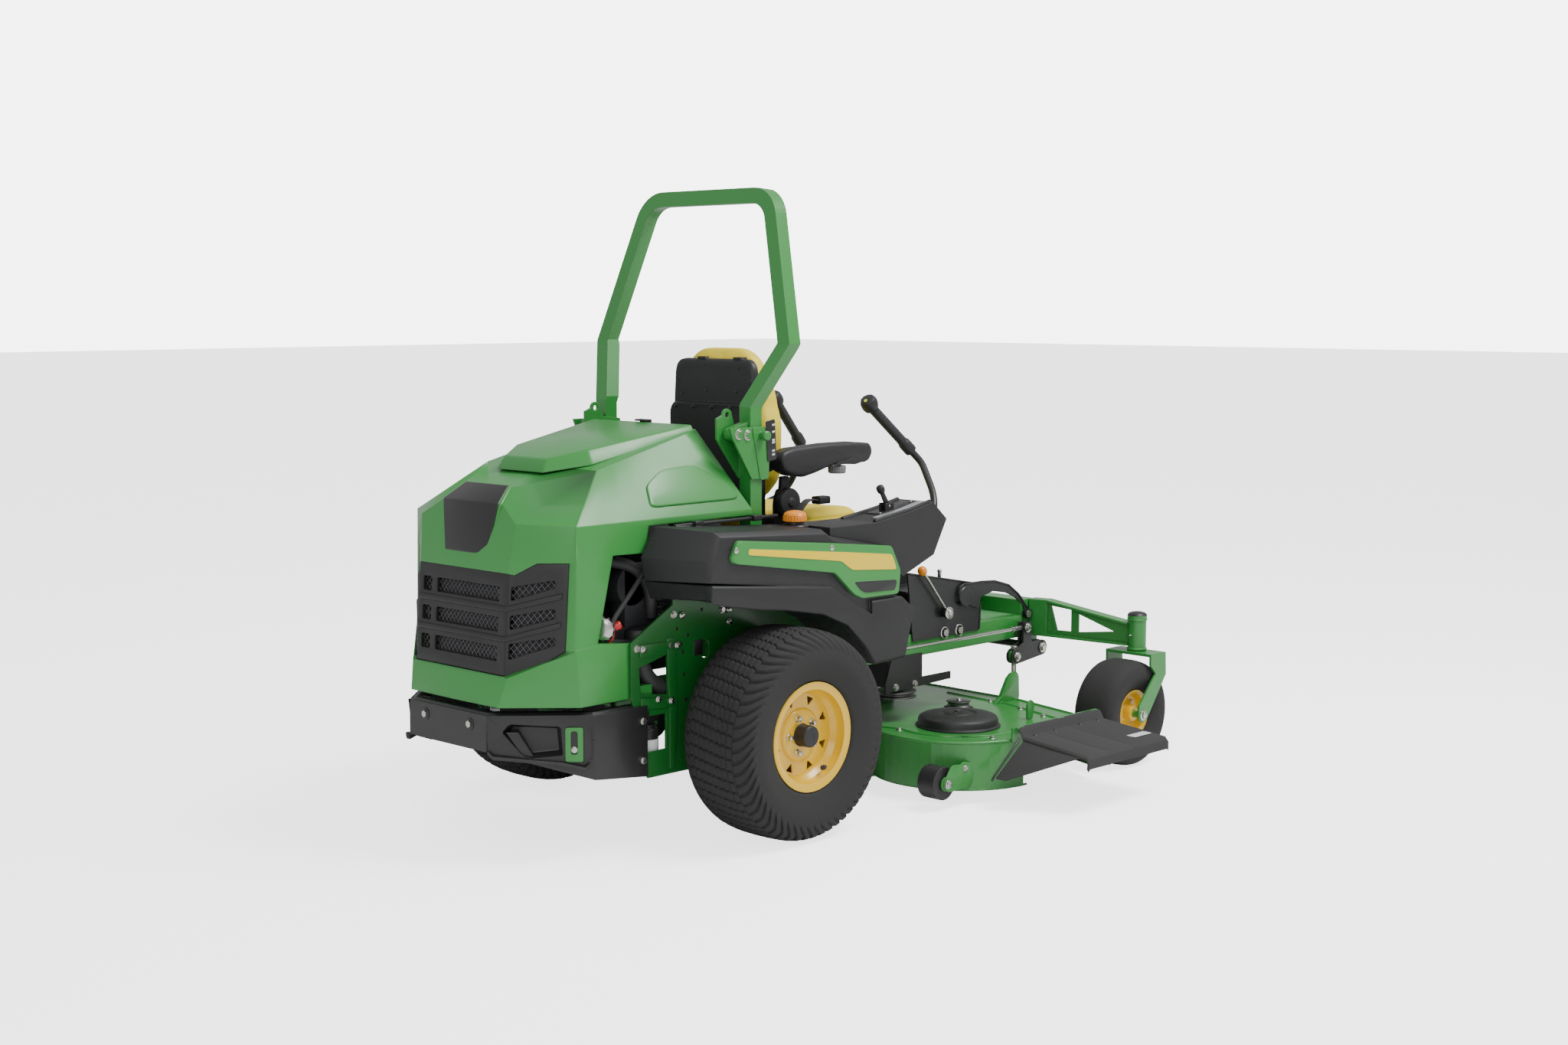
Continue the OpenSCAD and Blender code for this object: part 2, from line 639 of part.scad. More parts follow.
module hood_shell() color(green) at_row() {
    difference() {
        union() {
            hull_of(hood_body(0));
            hull_of(hood_skirt(0));
        }
        hull_of([for (p = hood_body(hood_t)) [p[0] > 0 ? 60 : p[0] == -62 ? -50 : p[0], p[1], p[2]]]);
        hull_of([for (p = hood_skirt(hood_t)) [p[0] == -440 ? -430 : p[0], p[1], p[2] < 500 ? 460 : 548]]);
        side_prism(-500, 500) polygon([[-476, 400], [-476, 571], [-594, 649], [-533, 909],
            [-405, hood_open], [200, hood_open], [200, 400]]);
        box([-900, -700], [-330, 330], [585, 880]);
    }
    hull_of(scoop);
    // knuckles on the bumper's pins, and lugs of the latch
    both() difference() {
        union() {
            y_rod(hood_pin[0], hood_pin[1], 120, 150, 8);
            box([hood_pin[0] - 8, hood_pin[0] + 2], [120, 150], [hood_pin[1], 490]);
        }
        y_rod(hood_pin[0], hood_pin[1], 119, 151, 5 + run_gap);
    }
    both() difference() {
        union() {
            y_rod(latch_pin[0], latch_pin[1], 26 + face_gap, 32, 7);
            box([-64, latch_pin[0]], [26 + face_gap, 32], [latch_pin[1] - 5, latch_pin[1] + 5]);
        }
        y_rod(latch_pin[0], latch_pin[1], 20, 40, 5 + run_gap);
    }
}

hood_corner = [[-697, 363], [-800, 214], [-800, -214], [-697, -363]];
grille_low = 562;
grille_high = 900;
grille_t = 12;
grille_lean = atan2(33, 460);    // slope of the hood's rear face

module on_rear_face() translate([-800, 0, 545]) rotate([0, grille_lean, 0]) translate([800, 0, -545]) children();

module hood_grille() color(black) at_row() {
    rows = 3;
    pitch = (grille_high - grille_low - grille_bar) / rows;
    window_h = pitch - grille_bar;
    on_rear_face() difference() {
        translate([0, 0, grille_low]) linear_extrude(grille_high - grille_low)
            polygon(band(hood_corner, -grille_t));
        for (i = [0 : rows - 1], z = [grille_low + grille_bar + i * pitch]) {
            box([-830, -780], [-198, -106], [z, z + window_h]);
            box([-830, -780], [-88, 198], [z, z + window_h]);
            both() translate([-750, -282, z]) rotate([0, 0, atan2(-149, 103)])
                translate([-72, -30, 0]) cube([144, 60, window_h]);
        }
    }
    // blank badge over the grille
    on_rear_face() cross_prism(-806, -799.5) polygon([[-101, 915], [101, 915], [132, 990], [-132, 990]]);
}

module hood_latch() color(black) at_row() {
    y_rod(latch_pin[0], latch_pin[1], -31, 31, 5);
    box([-70, -44], [-26, 26], [1271 + face_gap, 1277]);
    box([-49, -43], [-26, 26], [latch_pin[1], 1277]);
}

// ---------- seat ----------

module seat_base() color(black) at_row() difference() {
    union() {
        box([300, 710], [-230, 230], [rail_top + 5, 745]);
        box([300, 710], [-rail_y, rail_y], [rail_top, rail_top + 5]);
    }
    for (x = [380, 640], y = [-150, 150])
        translate([x, y, 640]) cylinder(h = 200, r = 14 + run_gap);
}

module seat_suspension() color(black) at_row() {
    box([320, 700], [-185, 185], [790, 830]);
    for (x = [380, 640], y = [-150, 150]) translate([x, y, 690]) cylinder(h = 101, r = 14);
}

module seat_pan() color(black) at_row() {
    box([310, 755], [-225, 225], [830 + face_gap, seat_z - face_gap]);
    // hinge ears of the seat back
    both() difference() {
        side_prism(226, 234) polygon([[270, 832], [420, 832], [360, 930], [280, 930]]);
        y_rod(recline_x, recline_z, 220, 240, 9 + run_gap);
    }
    both() box([310, 420], [225, 226], [832, 868]);
}

recline_x = 315;
recline_z = 905;

module rounded_slab(x, y, z, r) {
    hull() for (px = [x[0] + r, x[1] - r], py = [y[0] + r, y[1] - r], pz = [z[0] + r, z[1] - r])
        translate([px, py, pz]) sphere(r = r, $fn = 24);
}

module seat_cushion() color(yellow) at_row()
    rounded_slab([395, 800], [-seat_y, seat_y], [seat_z, seat_z + cushion_t], 30);

shell_x = 258;
back_x = shell_x + 13.9;

module back_shell() color(black) at_row() {
    cross_prism(shell_x, shell_x + 14)
        polygon([[-200, 930], [200, 930], [205, 1200], [186, 1440], [150, 1470], [-150, 1470],
            [-186, 1440], [-205, 1200]]);
    both() {
        side_prism(214, 225.7) polygon([[shell_x, 890], [335, 885], [335, 930], [272, 960],
            [272, 1160], [shell_x, 1160]]);
        box([shell_x, 272], [195, 225.7], [930, 1160]);
        box([shell_x, 272], [200, 246], [1100, 1160]);
        side_prism(240, 246) polygon([[shell_x, 1100], [300, 1112], [300, 1150], [shell_x, 1160]]);
        y_rod(recline_x, recline_z, 214, 236, 9);
        y_rod(arm_pivot[0], arm_pivot[1], 240, 290, 10);
    }
}

arm_pivot = [285, 1130];

module back_cushion() color(yellow) at_row() hull() {
    for (y = [-seat_y + 40, seat_y - 40], z = [1010, 1230], x = [back_x + 38, back_x + back_t - 38])
        translate([x, y * (z > 1200 ? 1 : 0.86), z]) sphere(r = 38, $fn = 24);
    for (y = [-130, 130]) translate([back_x + 40, y, back_top - 40]) sphere(r = 38, $fn = 24);
}

arm_side = [[244, 1172], [244, 1120], [300, 1088], [345, 1080], [480, 1104], [600, 1112], [660, 1120],
    [690, 1135], [680, 1183], [480, 1186]];

module armrest() difference() {
    side_prism(268, 330) polygon(arm_side);
    y_rod(arm_pivot[0], arm_pivot[1], 260, 291, 10 + run_gap);
}

module armrest_left() color(black) at_row() armrest();
module armrest_right() color(black) at_row() mirror([0, 1, 0]) difference() {
    armrest();
    translate([540, 299, 1050]) cylinder(h = 75, r = 10 + run_gap);
    translate([540, 299, 1050]) cylinder(h = 62, r = 34);
}
module armrest_knob() color("#8a8d90") at_row() translate([540, -299, 1084]) {
    cylinder(h = 26, r = 30);
    cylinder(h = 38, r = 10);
}

// ---------- control levers ----------

lever_lug_z = 882;
lever_path = [[pivot_x, pivot_y, lever_lug_z], [840, 412, 890], [955, 375, 935], [985, 345, 990],
    [985, 290, 1095], [960, 268, 1130]];
grip_path = [[960, 268, 1130], [790, 228, 1292]];

module lever_pivot() difference() {
    union() {
        box([pivot_x - block / 2, pivot_x + block / 2], [pivot_y - block / 2, pivot_y + block / 2],
            [pivot_z - 16, lever_lug_z + 10]);
        y_rod(pivot_x, pivot_z, pivot_y - block / 2 - 8, pivot_y + block / 2 + 8, pin_r);
    }
    box([pivot_x - 7 - face_gap, far], [pivot_y - 40, pivot_y + 40], [pivot_z + 14, 1000]);
}

module lever() {
    // lug plate that turns on the block's cross pin, then the bent tube
    difference() {
        union() {
            box([pivot_x - 7, pivot_x + 7], [pivot_y - 14, pivot_y + 14], [pivot_z + 20, lever_lug_z + 14]);
            bent_rod(lever_path, lever_r);
            rod_between(grip_path[0], grip_path[1], grip_r);
            translate([783, 226, 1298]) sphere(r = 29);
        }
        button_socket(6 + run_gap);
        x_rod(pivot_y, lever_lug_z, pivot_x - 20, pivot_x - 2, 5 + run_gap);
    }
}

button_at = [760, 232, 1312];
button_dir = [-0.75, 0.15, 0.64];

module button_socket(r) rod_between(button_at - 12 * button_dir, button_at + 40 * button_dir, r);
module button() rod_between(button_at - 8 * button_dir, button_at + 8 * button_dir, 6);

module lever_pin() x_rod(pivot_y, lever_lug_z, pivot_x - block / 2, pivot_x - 3, 5);

module lever_pivot_left() color(black) at_row() {
    lever_pivot();
    lever_pin();
}
module lever_pivot_right() color(black) at_row() mirror([0, 1, 0]) {
    lever_pivot();
    lever_pin();
}
module lever_left() color(black) at_row() lever();
module lever_right() color(black) at_row() mirror([0, 1, 0]) lever();
module lever_button_left() color("#d4dc2c") at_row() button();
module lever_button_right() color("#d4dc2c") at_row() mirror([0, 1, 0]) button();

// ---------- cutting height box and lift ----------

rod_y = 371;
lift_rod_z = 466;
rock_x = 1565;
rock_z = 383;
rock_r = 14;
rod_pin = [1476, 466];
hang_pin = [1415, 366];
arm_a = 356.5;
arm_b = 377.5;                   // inner faces of a lift arm's two plates
arm_t = 8;

module lift_arm_plate(y) side_prism(y, y + arm_t) polygon(concat(
    [[1454, 486], [1452, 412]], arc(hang_pin, 28, 90, 270, 10), arc([rock_x, rock_z], 28, -90, 90, 10),
    [[1500, 412], [1498, 486]]));

module lift_arms() color(black) at_row() {
    y_rod(rock_x, rock_z, -arm_a, arm_a, rock_r);
    both() {
        lift_arm_plate(arm_a);
        lift_arm_plate(arm_b);
        y_rod(hang_pin[0], hang_pin[1], arm_a + 1, arm_b + 0.5, 8);
        side_bolt(hang_pin[0], arm_b + arm_t, hang_pin[1], 12, 1);
        side_bolt(rod_pin[0], arm_b + arm_t, rod_pin[1], 13, 1);
        y_rod(rock_x, rock_z, arm_a + 1, arm_b + 0.5, 20);
    }
}

module lift_rods() color(steel) at_row() both()
    x_rod(rod_y, lift_rod_z, 600, rod_pin[0] + 6, rod_r);

box_side = [[880, 480], [1244, 480], [1250, 560], [1228, 640], [1206, 655], [850, 722]];
arch_top = concat([[1110, 600]], arc([1152, 622], 34, 180, 100, 5), [[1250, 655], [1320, 650], [1400, 628],
    [1460, 588], [1512, 532]], arc([1523, 508], 20, 40, -120, 6), [[1490, 545], [1440, 580], [1390, 600],
    [1310, 614], [1240, 600], [1230, 560]]);

module height_box() color(black) at_row() difference() {
    union() {
        side_prism(-rail_y - 6, -rail_y) polygon(box_side);
        side_prism(-206, -200) polygon([[880, rail_top], [1240, rail_top], [1228, 640], [1206, 655], [850, 722]]);
        box([850, 1210], [-rail_y, -200], [650, 656]);
        box([880, 886], [-rail_y, -200], [rail_top, 656]);
        box([1200, 1206], [-rail_y, -200], [rail_top, 650]);
        side_prism(-rail_y - 14, -rail_y - 6) polygon(arch_top);
        box([1512, 1534], [-rail_y - 8, -rail_y + 8.5], [497, 519]);
        y_rod(1045, 565, -rail_y - 30, -rail_y - 6, 10);
    }
}

module height_lever() color(steel) at_row() difference() {
    union() {
        y_rod(1045, 565, -rail_y - 30, -rail_y - 12, 18);
        rod_between([1037, -rail_y - 24, 577], [905, -rail_y - 24, 727], 5);
        translate([905, -rail_y - 24, 727]) rotate([90, 0, 0]) sphere(r = ball_r);
    }
    y_rod(1045, 565, -rail_y - 31, -rail_y - 6, 10 + run_gap);
}

module foot_deck() color("#7fae86") at_row() {
    box([720, 1330], [-199, 199], [rail_top, rail_top + 5]);
    side_prism(-190, 190) polygon([[1325, rail_top], [1335, rail_top], [1480, 596], [1476, 601]]);
    box([1320, cross_x], [-rail_y + rail_w, rail_y - rail_w], [rail_top - 8, rail_top]);
}

module pto_housing() color(black) at_row() {
    box([760, 930], [-rail_y, -240], [330, rail_z]);
    side_prism(-rail_y - 6, -rail_y) polygon([[740, 314], [1085, 324], [1085, 350], [930, 350],
        [930, rail_z + 10], [770, rail_z + 10], [740, 350]]);
    translate([pto_x, -pto_y, 312]) cylinder(h = 20, r = 30);
}

pto_x = 847;
pto_y = 300;

module pto_pulley() color(dark) at_row() translate([pto_x, -pto_y, 0]) {
    translate([0, 0, 286]) rotate_extrude()
        polygon([[0, 0], [70, 0], [70, 4], [60, 9], [60, 13], [70, 18], [70, 22], [0, 22]]);
    translate([0, 0, 307]) cylinder(h = 5 - face_gap, r = 20);
}

module chassis_bolts() color(steel) at_row() {
    both() {
        for (p = [[-447, 621], [-312, 617], [-298, 709], [-94, 703]])
            side_bolt(p[0], plate_out, p[1], 9, 1);
        for (z = [280, 400]) side_bolt(-430, 410, z, 9, 1);
    }
    for (y = [-110, 110]) translate([-bumper_x, y, 411]) rotate([0, -90, 0])
        cylinder(h = bumper_bolt, r = 11, $fn = 6);
    for (p = [[1050, 492], [1130, 492]]) side_bolt(p[0], -rail_y - 6, p[1], 13);
    // low round head that the lift arm swings past
    y_rod(1523, 508, -rail_y - 16, -rail_y - 14, 13);
    for (x = [790, 890]) side_bolt(x, -rail_y - 6, 330, 10);
}

// ---------- cutting deck ----------

function deck_half(g) = concat(
    [[600 + g, 0], [600 + g, 335 - g]],
    arc([spindle_x, spindle_gap], chamber_r - g, 210, 90, 16),
    [[1306 - g, hinge_y - g], [1351 - g, 678 - g / 3], [1420 - g, 400], [1430 - g, 0]]);
function deck_ring(g) = concat(deck_half(g), mirrored(deck_half(g)));
spindles = [[spindle_x, -spindle_gap], [spindle_x + spindle_lead, 0], [spindle_x, spindle_gap]];
roller_x = 590;
roller_y = 700;
roller_z = 90;
roller_r = 55;
shaft_r = 12.5;
hinge_knuckles = [chute_x0, 1070, chute_x1 - 44];
knuckle_l = 36;

module deck_shell() color(green) at_row() {
    difference() {
        union() {
            translate([0, 0, deck_low]) linear_extrude(deck_top - deck_low) polygon(deck_ring(0));
            // raised strip over the discharge opening
            box([chute_x0 - 12, 1306], [-hinge_y, -hinge_y + 6], [deck_top - 5, hinge_z + 6]);
        }
        translate([0, 0, deck_low - 1]) linear_extrude(deck_top - deck_t - deck_low + 1)
            polygon(deck_ring(deck_t));
        // discharge opening
        box([900, 1290], [-hinge_y - 5, -hinge_y + 30], [deck_low - 1, deck_top - deck_t]);
        for (s = spindles) translate([s[0], s[1], 0]) cylinder(h = 400, r = 40);
    }
    for (s = spindles) translate([s[0], s[1], 0]) difference() {
        union() {
            translate([0, 0, 118]) cylinder(h = deck_top + 6 - 118, r = 40);
            translate([0, 0, deck_top]) cylinder(h = 6, r = 62);
        }
        cylinder(h = 400, r = shaft_r + run_gap);
    }
    // brackets of the rear rollers
    both() {
        side_prism(roller_y + 39, roller_y + 45) polygon(concat(
            arc([roller_x, roller_z], 24, 90, 270, 8), [[700, 60], [722, 70], [722, 140], [680, 150]]));
        y_rod(roller_x, roller_z, roller_y - 34, roller_y + 50, 8);
    }
    // hangers of the lift
    both() {
        side_prism(rod_y - 5, rod_y + 5) polygon([[1290, deck_top - 2], [1330, 225], [1372, 290],
            [1395, 306], [1412, 300], [1414, deck_top - 2]]);
        difference() {
            union() {
                box([hang_pin[0] - 8, hang_pin[0] + 8], [rod_y - 5, rod_y + 5], [296, 352]);
                box([1396, 1423], [rod_y - 5, rod_y + 5], [284, 300]);
                y_rod(hang_pin[0], hang_pin[1], rod_y - 6, rod_y + 6, 24);
            }
            y_rod(hang_pin[0], hang_pin[1], rod_y - 9, rod_y + 9, 14);
        }
    }
    // knuckles of the chute hinge
    for (x = hinge_knuckles) {
        x_rod(-hinge_y - 8, hinge_z, x, x + knuckle_l, 8);
        box([x, x + knuckle_l], [-hinge_y - 8, -hinge_y + 2], [hinge_z - 8, hinge_z]);
    }
    x_rod(-hinge_y - 8, hinge_z, chute_x0, hinge_knuckles[2] + knuckle_l, 4);
}

module belt_covers() color(black) at_row() both() translate([spindle_x, spindle_gap, deck_top]) difference() {
    rotate_extrude()
        polygon([[0, 61], [94, 59], [128, 48], [cover_r, 30], [cover_r, 0], [cover_r - 4, 0],
            [cover_r - 4, 28], [125, 44], [93, 55], [0, 57]]);
    box([-30, 30], [-8, 8], [50, 70]);
}

module blade_set(s) translate([s[0], s[1], 0]) {
    translate([0, 0, 62]) cylinder(h = 196, r = shaft_r);
    translate([0, 0, 211 + face_gap]) rotate_extrude()
        polygon([[0, 0], [72, 0], [72, 4], [62, 9], [62, 12], [72, 17], [72, 21], [0, 21]]);
    translate([0, 0, 100]) cylinder(h = 18 - face_gap, r = 30);
    box([-blade_l / 2, blade_l / 2], [-31, 31], [64, 70]);
    translate([0, 0, 70]) cylinder(h = 32, r = 24);
}

module blade_right() color(steel) at_row() blade_set(spindles[0]);
module blade_middle() color(steel) at_row() blade_set(spindles[1]);
module blade_left() color(steel) at_row() blade_set(spindles[2]);

module roller() y_rod(roller_x, roller_z, roller_y - 34, roller_y + 34, roller_r);
module roller_bore() y_rod(roller_x, roller_z, roller_y - 36, roller_y + 36, 8 + run_gap);

module roller_rear_left() color(black) at_row() difference() {
    roller();
    roller_bore();
}
module roller_rear_right() color(black) at_row() mirror([0, 1, 0]) difference() {
    roller();
    roller_bore();
}

module chute() color(black) at_row() {
    outer_z = 196;
    t = 8;
    edge_y = -hinge_y - chute_reach;
    // hinge knuckles between the deck's, then the rolled edge and the flat panel
    difference() {
        for (i = [0, 1], x0 = [hinge_knuckles[i] + knuckle_l + face_gap], x1 = [hinge_knuckles[i + 1] - face_gap]) {
            x_rod(-hinge_y - 8, hinge_z, x0, x1, 8);
            box([x0, x1], [-hinge_y - 18, -hinge_y - 10], [hinge_z - 4, hinge_z + 4]);
        }
        x_rod(-hinge_y - 8, hinge_z, chute_x0, chute_x1, 4 + run_gap);
    }
    cross_prism(chute_x0, chute_x1) polygon([[-hinge_y - 17, hinge_z - 4], [-hinge_y - 17, hinge_z + 4],
        [-hinge_y - 30, 222], [edge_y + t, outer_z], [edge_y, 150],
        [edge_y + t, 150], [edge_y + 2 * t, outer_z - t], [-hinge_y - 34, 212]]);
    // flap that closes the rear end
    hull() {
        translate([chute_x0, edge_y + 30, outer_z - t]) cube([6, 20, 6]);
        translate([chute_x0, -hinge_y - 30, 208]) cube([6, 6, 6]);
        translate([712, -hinge_y - 22, 104]) cube([6, 6, 6]);
    }
}

frame_rails();
side_plates();
front_axle();
rear_bumper();
fender_right();
fender_left();
fender_panels();
consoles();
rops_posts();
engine();
drive_units();
height_box();
foot_deck();
seat_base();
pto_housing();
chassis_bolts();
tyre_right();
rim_right();
hub_right();
tyre_left();
rim_left();
hub_left();
caster_fork_right();
caster_tyre_right();
caster_rim_right();
caster_fork_left();
caster_tyre_left();
caster_rim_left();
rops_hoop();
hood_shell();
hood_grille();
hood_latch();
fuel_cap();
seat_suspension();
seat_pan();
seat_cushion();
back_shell();
back_cushion();
armrest_right();
armrest_left();
armrest_knob();
lever_pivot_right();
lever_right();
lever_button_right();
lever_pivot_left();
lever_left();
lever_button_left();
throttle_lever();
deck_shell();
belt_covers();
chute();
blade_right();
blade_middle();
blade_left();
roller_rear_right();
roller_rear_left();
pto_pulley();
lift_arms();
lift_rods();
height_lever();
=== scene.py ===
"""Looks of a ride-on zero turn mower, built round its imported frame."""
import json
import logging
import math
from dataclasses import dataclass, field
from enum import Enum
from typing import Callable, Iterable, Optional, Protocol, Sequence

import bmesh
import bpy
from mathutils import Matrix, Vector


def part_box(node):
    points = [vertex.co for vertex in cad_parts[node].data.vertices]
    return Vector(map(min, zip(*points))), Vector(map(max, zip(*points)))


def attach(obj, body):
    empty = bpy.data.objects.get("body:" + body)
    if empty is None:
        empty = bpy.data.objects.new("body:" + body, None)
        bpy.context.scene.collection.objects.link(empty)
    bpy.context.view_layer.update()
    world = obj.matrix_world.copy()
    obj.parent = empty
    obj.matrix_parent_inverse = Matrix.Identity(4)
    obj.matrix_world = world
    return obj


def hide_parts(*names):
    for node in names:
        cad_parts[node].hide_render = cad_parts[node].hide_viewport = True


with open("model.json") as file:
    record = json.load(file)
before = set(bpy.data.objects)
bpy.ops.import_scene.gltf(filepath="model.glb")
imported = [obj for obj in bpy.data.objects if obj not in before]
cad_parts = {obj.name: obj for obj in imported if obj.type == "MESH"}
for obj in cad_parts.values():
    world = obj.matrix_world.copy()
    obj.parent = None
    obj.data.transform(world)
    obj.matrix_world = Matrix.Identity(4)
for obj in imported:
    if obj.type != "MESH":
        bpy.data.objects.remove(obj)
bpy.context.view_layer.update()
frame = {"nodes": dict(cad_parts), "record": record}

LOG = logging.getLogger("mower")
MM = 0.001
P3 = Sequence[float]
P2 = Sequence[float]
Piece = bpy.types.Object
UP, TO_LEFT, TO_RIGHT, BACK = (0, 0, 1), (0, 1, 0), (0, -1, 0), (-1, 0, 0)
Tone = tuple[float, float, float]


def datum() -> Vector:
    """Finds the ground point under the middle of the drive axle.

    Returns:
        The point in metres in the row frame.
    """
    low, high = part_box("rim_right")
    left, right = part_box("frame_rails")
    return Vector(((low.x + high.x) / 2, (left.y + right.y) / 2, 0.0))


DATUM = datum()


def at(x: float, y: float, z: float) -> Vector:
    """Turns millimetres from the axle datum into the row frame.

    Args:
        x: Distance ahead of the drive axle.
        y: Distance to the operator's left.
        z: Height over the ground.

    Returns:
        The point in metres.
    """
    return DATUM + Vector((x, y, z)) * MM


class SubAssembly(Protocol):
    """Anything that builds pieces."""

    def make(self) -> list[Piece]:
        """Builds the pieces."""


class Side(Enum):
    """The operator's two sides, as the sign of Y."""

    RIGHT = -1
    LEFT = 1

    @property
    def word(self) -> str:
        """The side's name as it stands in node and body names."""
        return self.name.lower()


# ---------- shared shader effects ----------


class Net:
    """A node tree with short calls that place and join its nodes."""

    def __init__(self, tree: bpy.types.NodeTree) -> None:
        """Takes the tree."""
        self.tree = tree

    def node(self, kind: str, values: Optional[dict] = None, **settings: object) -> bpy.types.Node:
        """Places a node.

        Args:
            kind: Its type, without the word that all shader nodes share.
            values: Values of its inputs, by name or number.
            settings: The node's own properties.

        Returns:
            The node.
        """
        node = self.tree.nodes.new(f"ShaderNode{kind}")
        for key, value in settings.items():
            setattr(node, key, value)
        for key, value in (values or {}).items():
            node.inputs[key].default_value = value
        return node

    def wire(self, *links: tuple) -> None:
        """Joins sockets.

        Args:
            links: Each a node with its output, and the node and input that it feeds.
        """
        for source, out, target, into in links:
            self.tree.links.new(source.outputs[out], target.inputs[into])


class Effects:
    """Shader node groups that several finishes share."""

    def __init__(self) -> None:
        """Builds each group once."""
        self.soft_edge = self._soft_edge()
        self.grain = self._grain()
        self.drift = self._drift()
        self.dust = self._dust()

    @staticmethod
    def _group(name: str, floats: dict[str, float], outputs: dict[str, str],
               colours: Sequence[str] = ()) -> tuple[Net, bpy.types.Node, bpy.types.Node]:
        """Starts a group with named sockets.

        Args:
            name: The group's name.
            floats: Float inputs with their values at first.
            outputs: Output names with their kinds.
            colours: Colour inputs.

        Returns:
            The group's net, and its input and output nodes.
        """
        tree = bpy.data.node_groups.new(name, "ShaderNodeTree")
        new = tree.interface.new_socket
        for key, value in floats.items():
            new(key, in_out="INPUT", socket_type="NodeSocketFloat").default_value = value
        for key in colours:
            new(key, in_out="INPUT", socket_type="NodeSocketColor")
        for key, kind in outputs.items():
            new(key, in_out="OUTPUT", socket_type=f"NodeSocket{kind}")
        return Net(tree), tree.nodes.new("NodeGroupInput"), tree.nodes.new("NodeGroupOutput")

    def _soft_edge(self) -> bpy.types.NodeTree:
        """Rounded normals along hard edges, and a mask of those edges.

        Returns:
            The group.
        """
        net, source, target = self._group("soft_edge", {"Radius": 0.002}, {"Normal": "Vector", "Edge": "Float"})
        bevel, geo = net.node("Bevel", samples=4), net.node("NewGeometry")
        dot = net.node("VectorMath", operation="DOT_PRODUCT")
        ramp = net.node("MapRange", {"From Min": 0.985, "From Max": 0.80})
        net.wire((source, "Radius", bevel, "Radius"), (bevel, "Normal", dot, 0), (geo, "Normal", dot, 1),
                 (dot, "Value", ramp, "Value"), (bevel, "Normal", target, "Normal"), (ramp, "Result", target, "Edge"))
        return net.tree

    def _grain(self) -> bpy.types.NodeTree:
        """Fine surface grain as a height and a mask.

        Returns:
            The group.
        """
        net, source, target = self._group("fine_grain", {"Scale": 600.0, "Cells": 0.5},
                                          {"Height": "Float", "Mask": "Float"})
        place, mix = net.node("TexCoord"), net.node("Mix")
        noise, broad = net.node("TexNoise", {"Detail": 3}), net.node("TexNoise", {"Scale": 9})
        cells = net.node("TexVoronoi", feature="DISTANCE_TO_EDGE")
        ramp = net.node("MapRange", {"From Max": 0.25})
        net.wire(*((place, "Object", node, "Vector") for node in (noise, cells, broad)),
                 *((source, "Scale", node, "Scale") for node in (noise, cells)),
                 (cells, "Distance", ramp, "Value"), (source, "Cells", mix, 0), (noise, "Fac", mix, 2),
                 (ramp, "Result", mix, 3), (mix, 0, target, "Height"), (broad, "Fac", target, "Mask"))
        return net.tree

    def _drift(self) -> bpy.types.NodeTree:
        """A slow drift between two tones over the surface.

        Returns:
            The group.
        """
        net, source, target = self._group("tone_drift", {"Scale": 3.0, "Edge": 0.0, "Wear": 0.0}, {"Color": "Color"},
                                          ("Light", "Dark", "Worn"))
        place, noise = net.node("TexCoord"), net.node("TexNoise", {"Detail": 5})
        tones, worn = (net.node("Mix", data_type="RGBA") for _ in range(2))
        much = net.node("Math", operation="MULTIPLY")
        net.wire((place, "Object", noise, "Vector"), (source, "Scale", noise, "Scale"), (noise, "Fac", tones, 0),
                 (source, "Light", tones, 6), (source, "Dark", tones, 7), (source, "Edge", much, 0),
                 (source, "Wear", much, 1), (much, 0, worn, 0), (tones, 2, worn, 6), (source, "Worn", worn, 7),
                 (worn, 2, target, "Color"))
        return net.tree

    def _dust(self) -> bpy.types.NodeTree:
        """A thin film of dust, thicker low down and in patches.

        Returns:
            The group.
        """
        net, source, target = self._group("settled_dust", {"Amount": 0.1, "Reach": 0.5}, {"Mask": "Float"})
        geo, parts = net.node("NewGeometry"), net.node("SeparateXYZ")
        low = net.node("MapRange", {"To Min": 1, "To Max": 0})
        noise = net.node("TexNoise", {"Scale": 14, "Detail": 6})
        first, second = (net.node("Math", operation="MULTIPLY") for _ in range(2))
        net.wire((geo, "Position", parts, 0), (geo, "Position", noise, "Vector"), (parts, "Z", low, "Value"),
                 (source, "Reach", low, "From Max"), (low, "Result", first, 0), (noise, "Fac", first, 1),
                 (first, 0, second, 0), (source, "Amount", second, 1), (second, 0, target, "Mask"))
        return net.tree


EFFECTS = Effects()


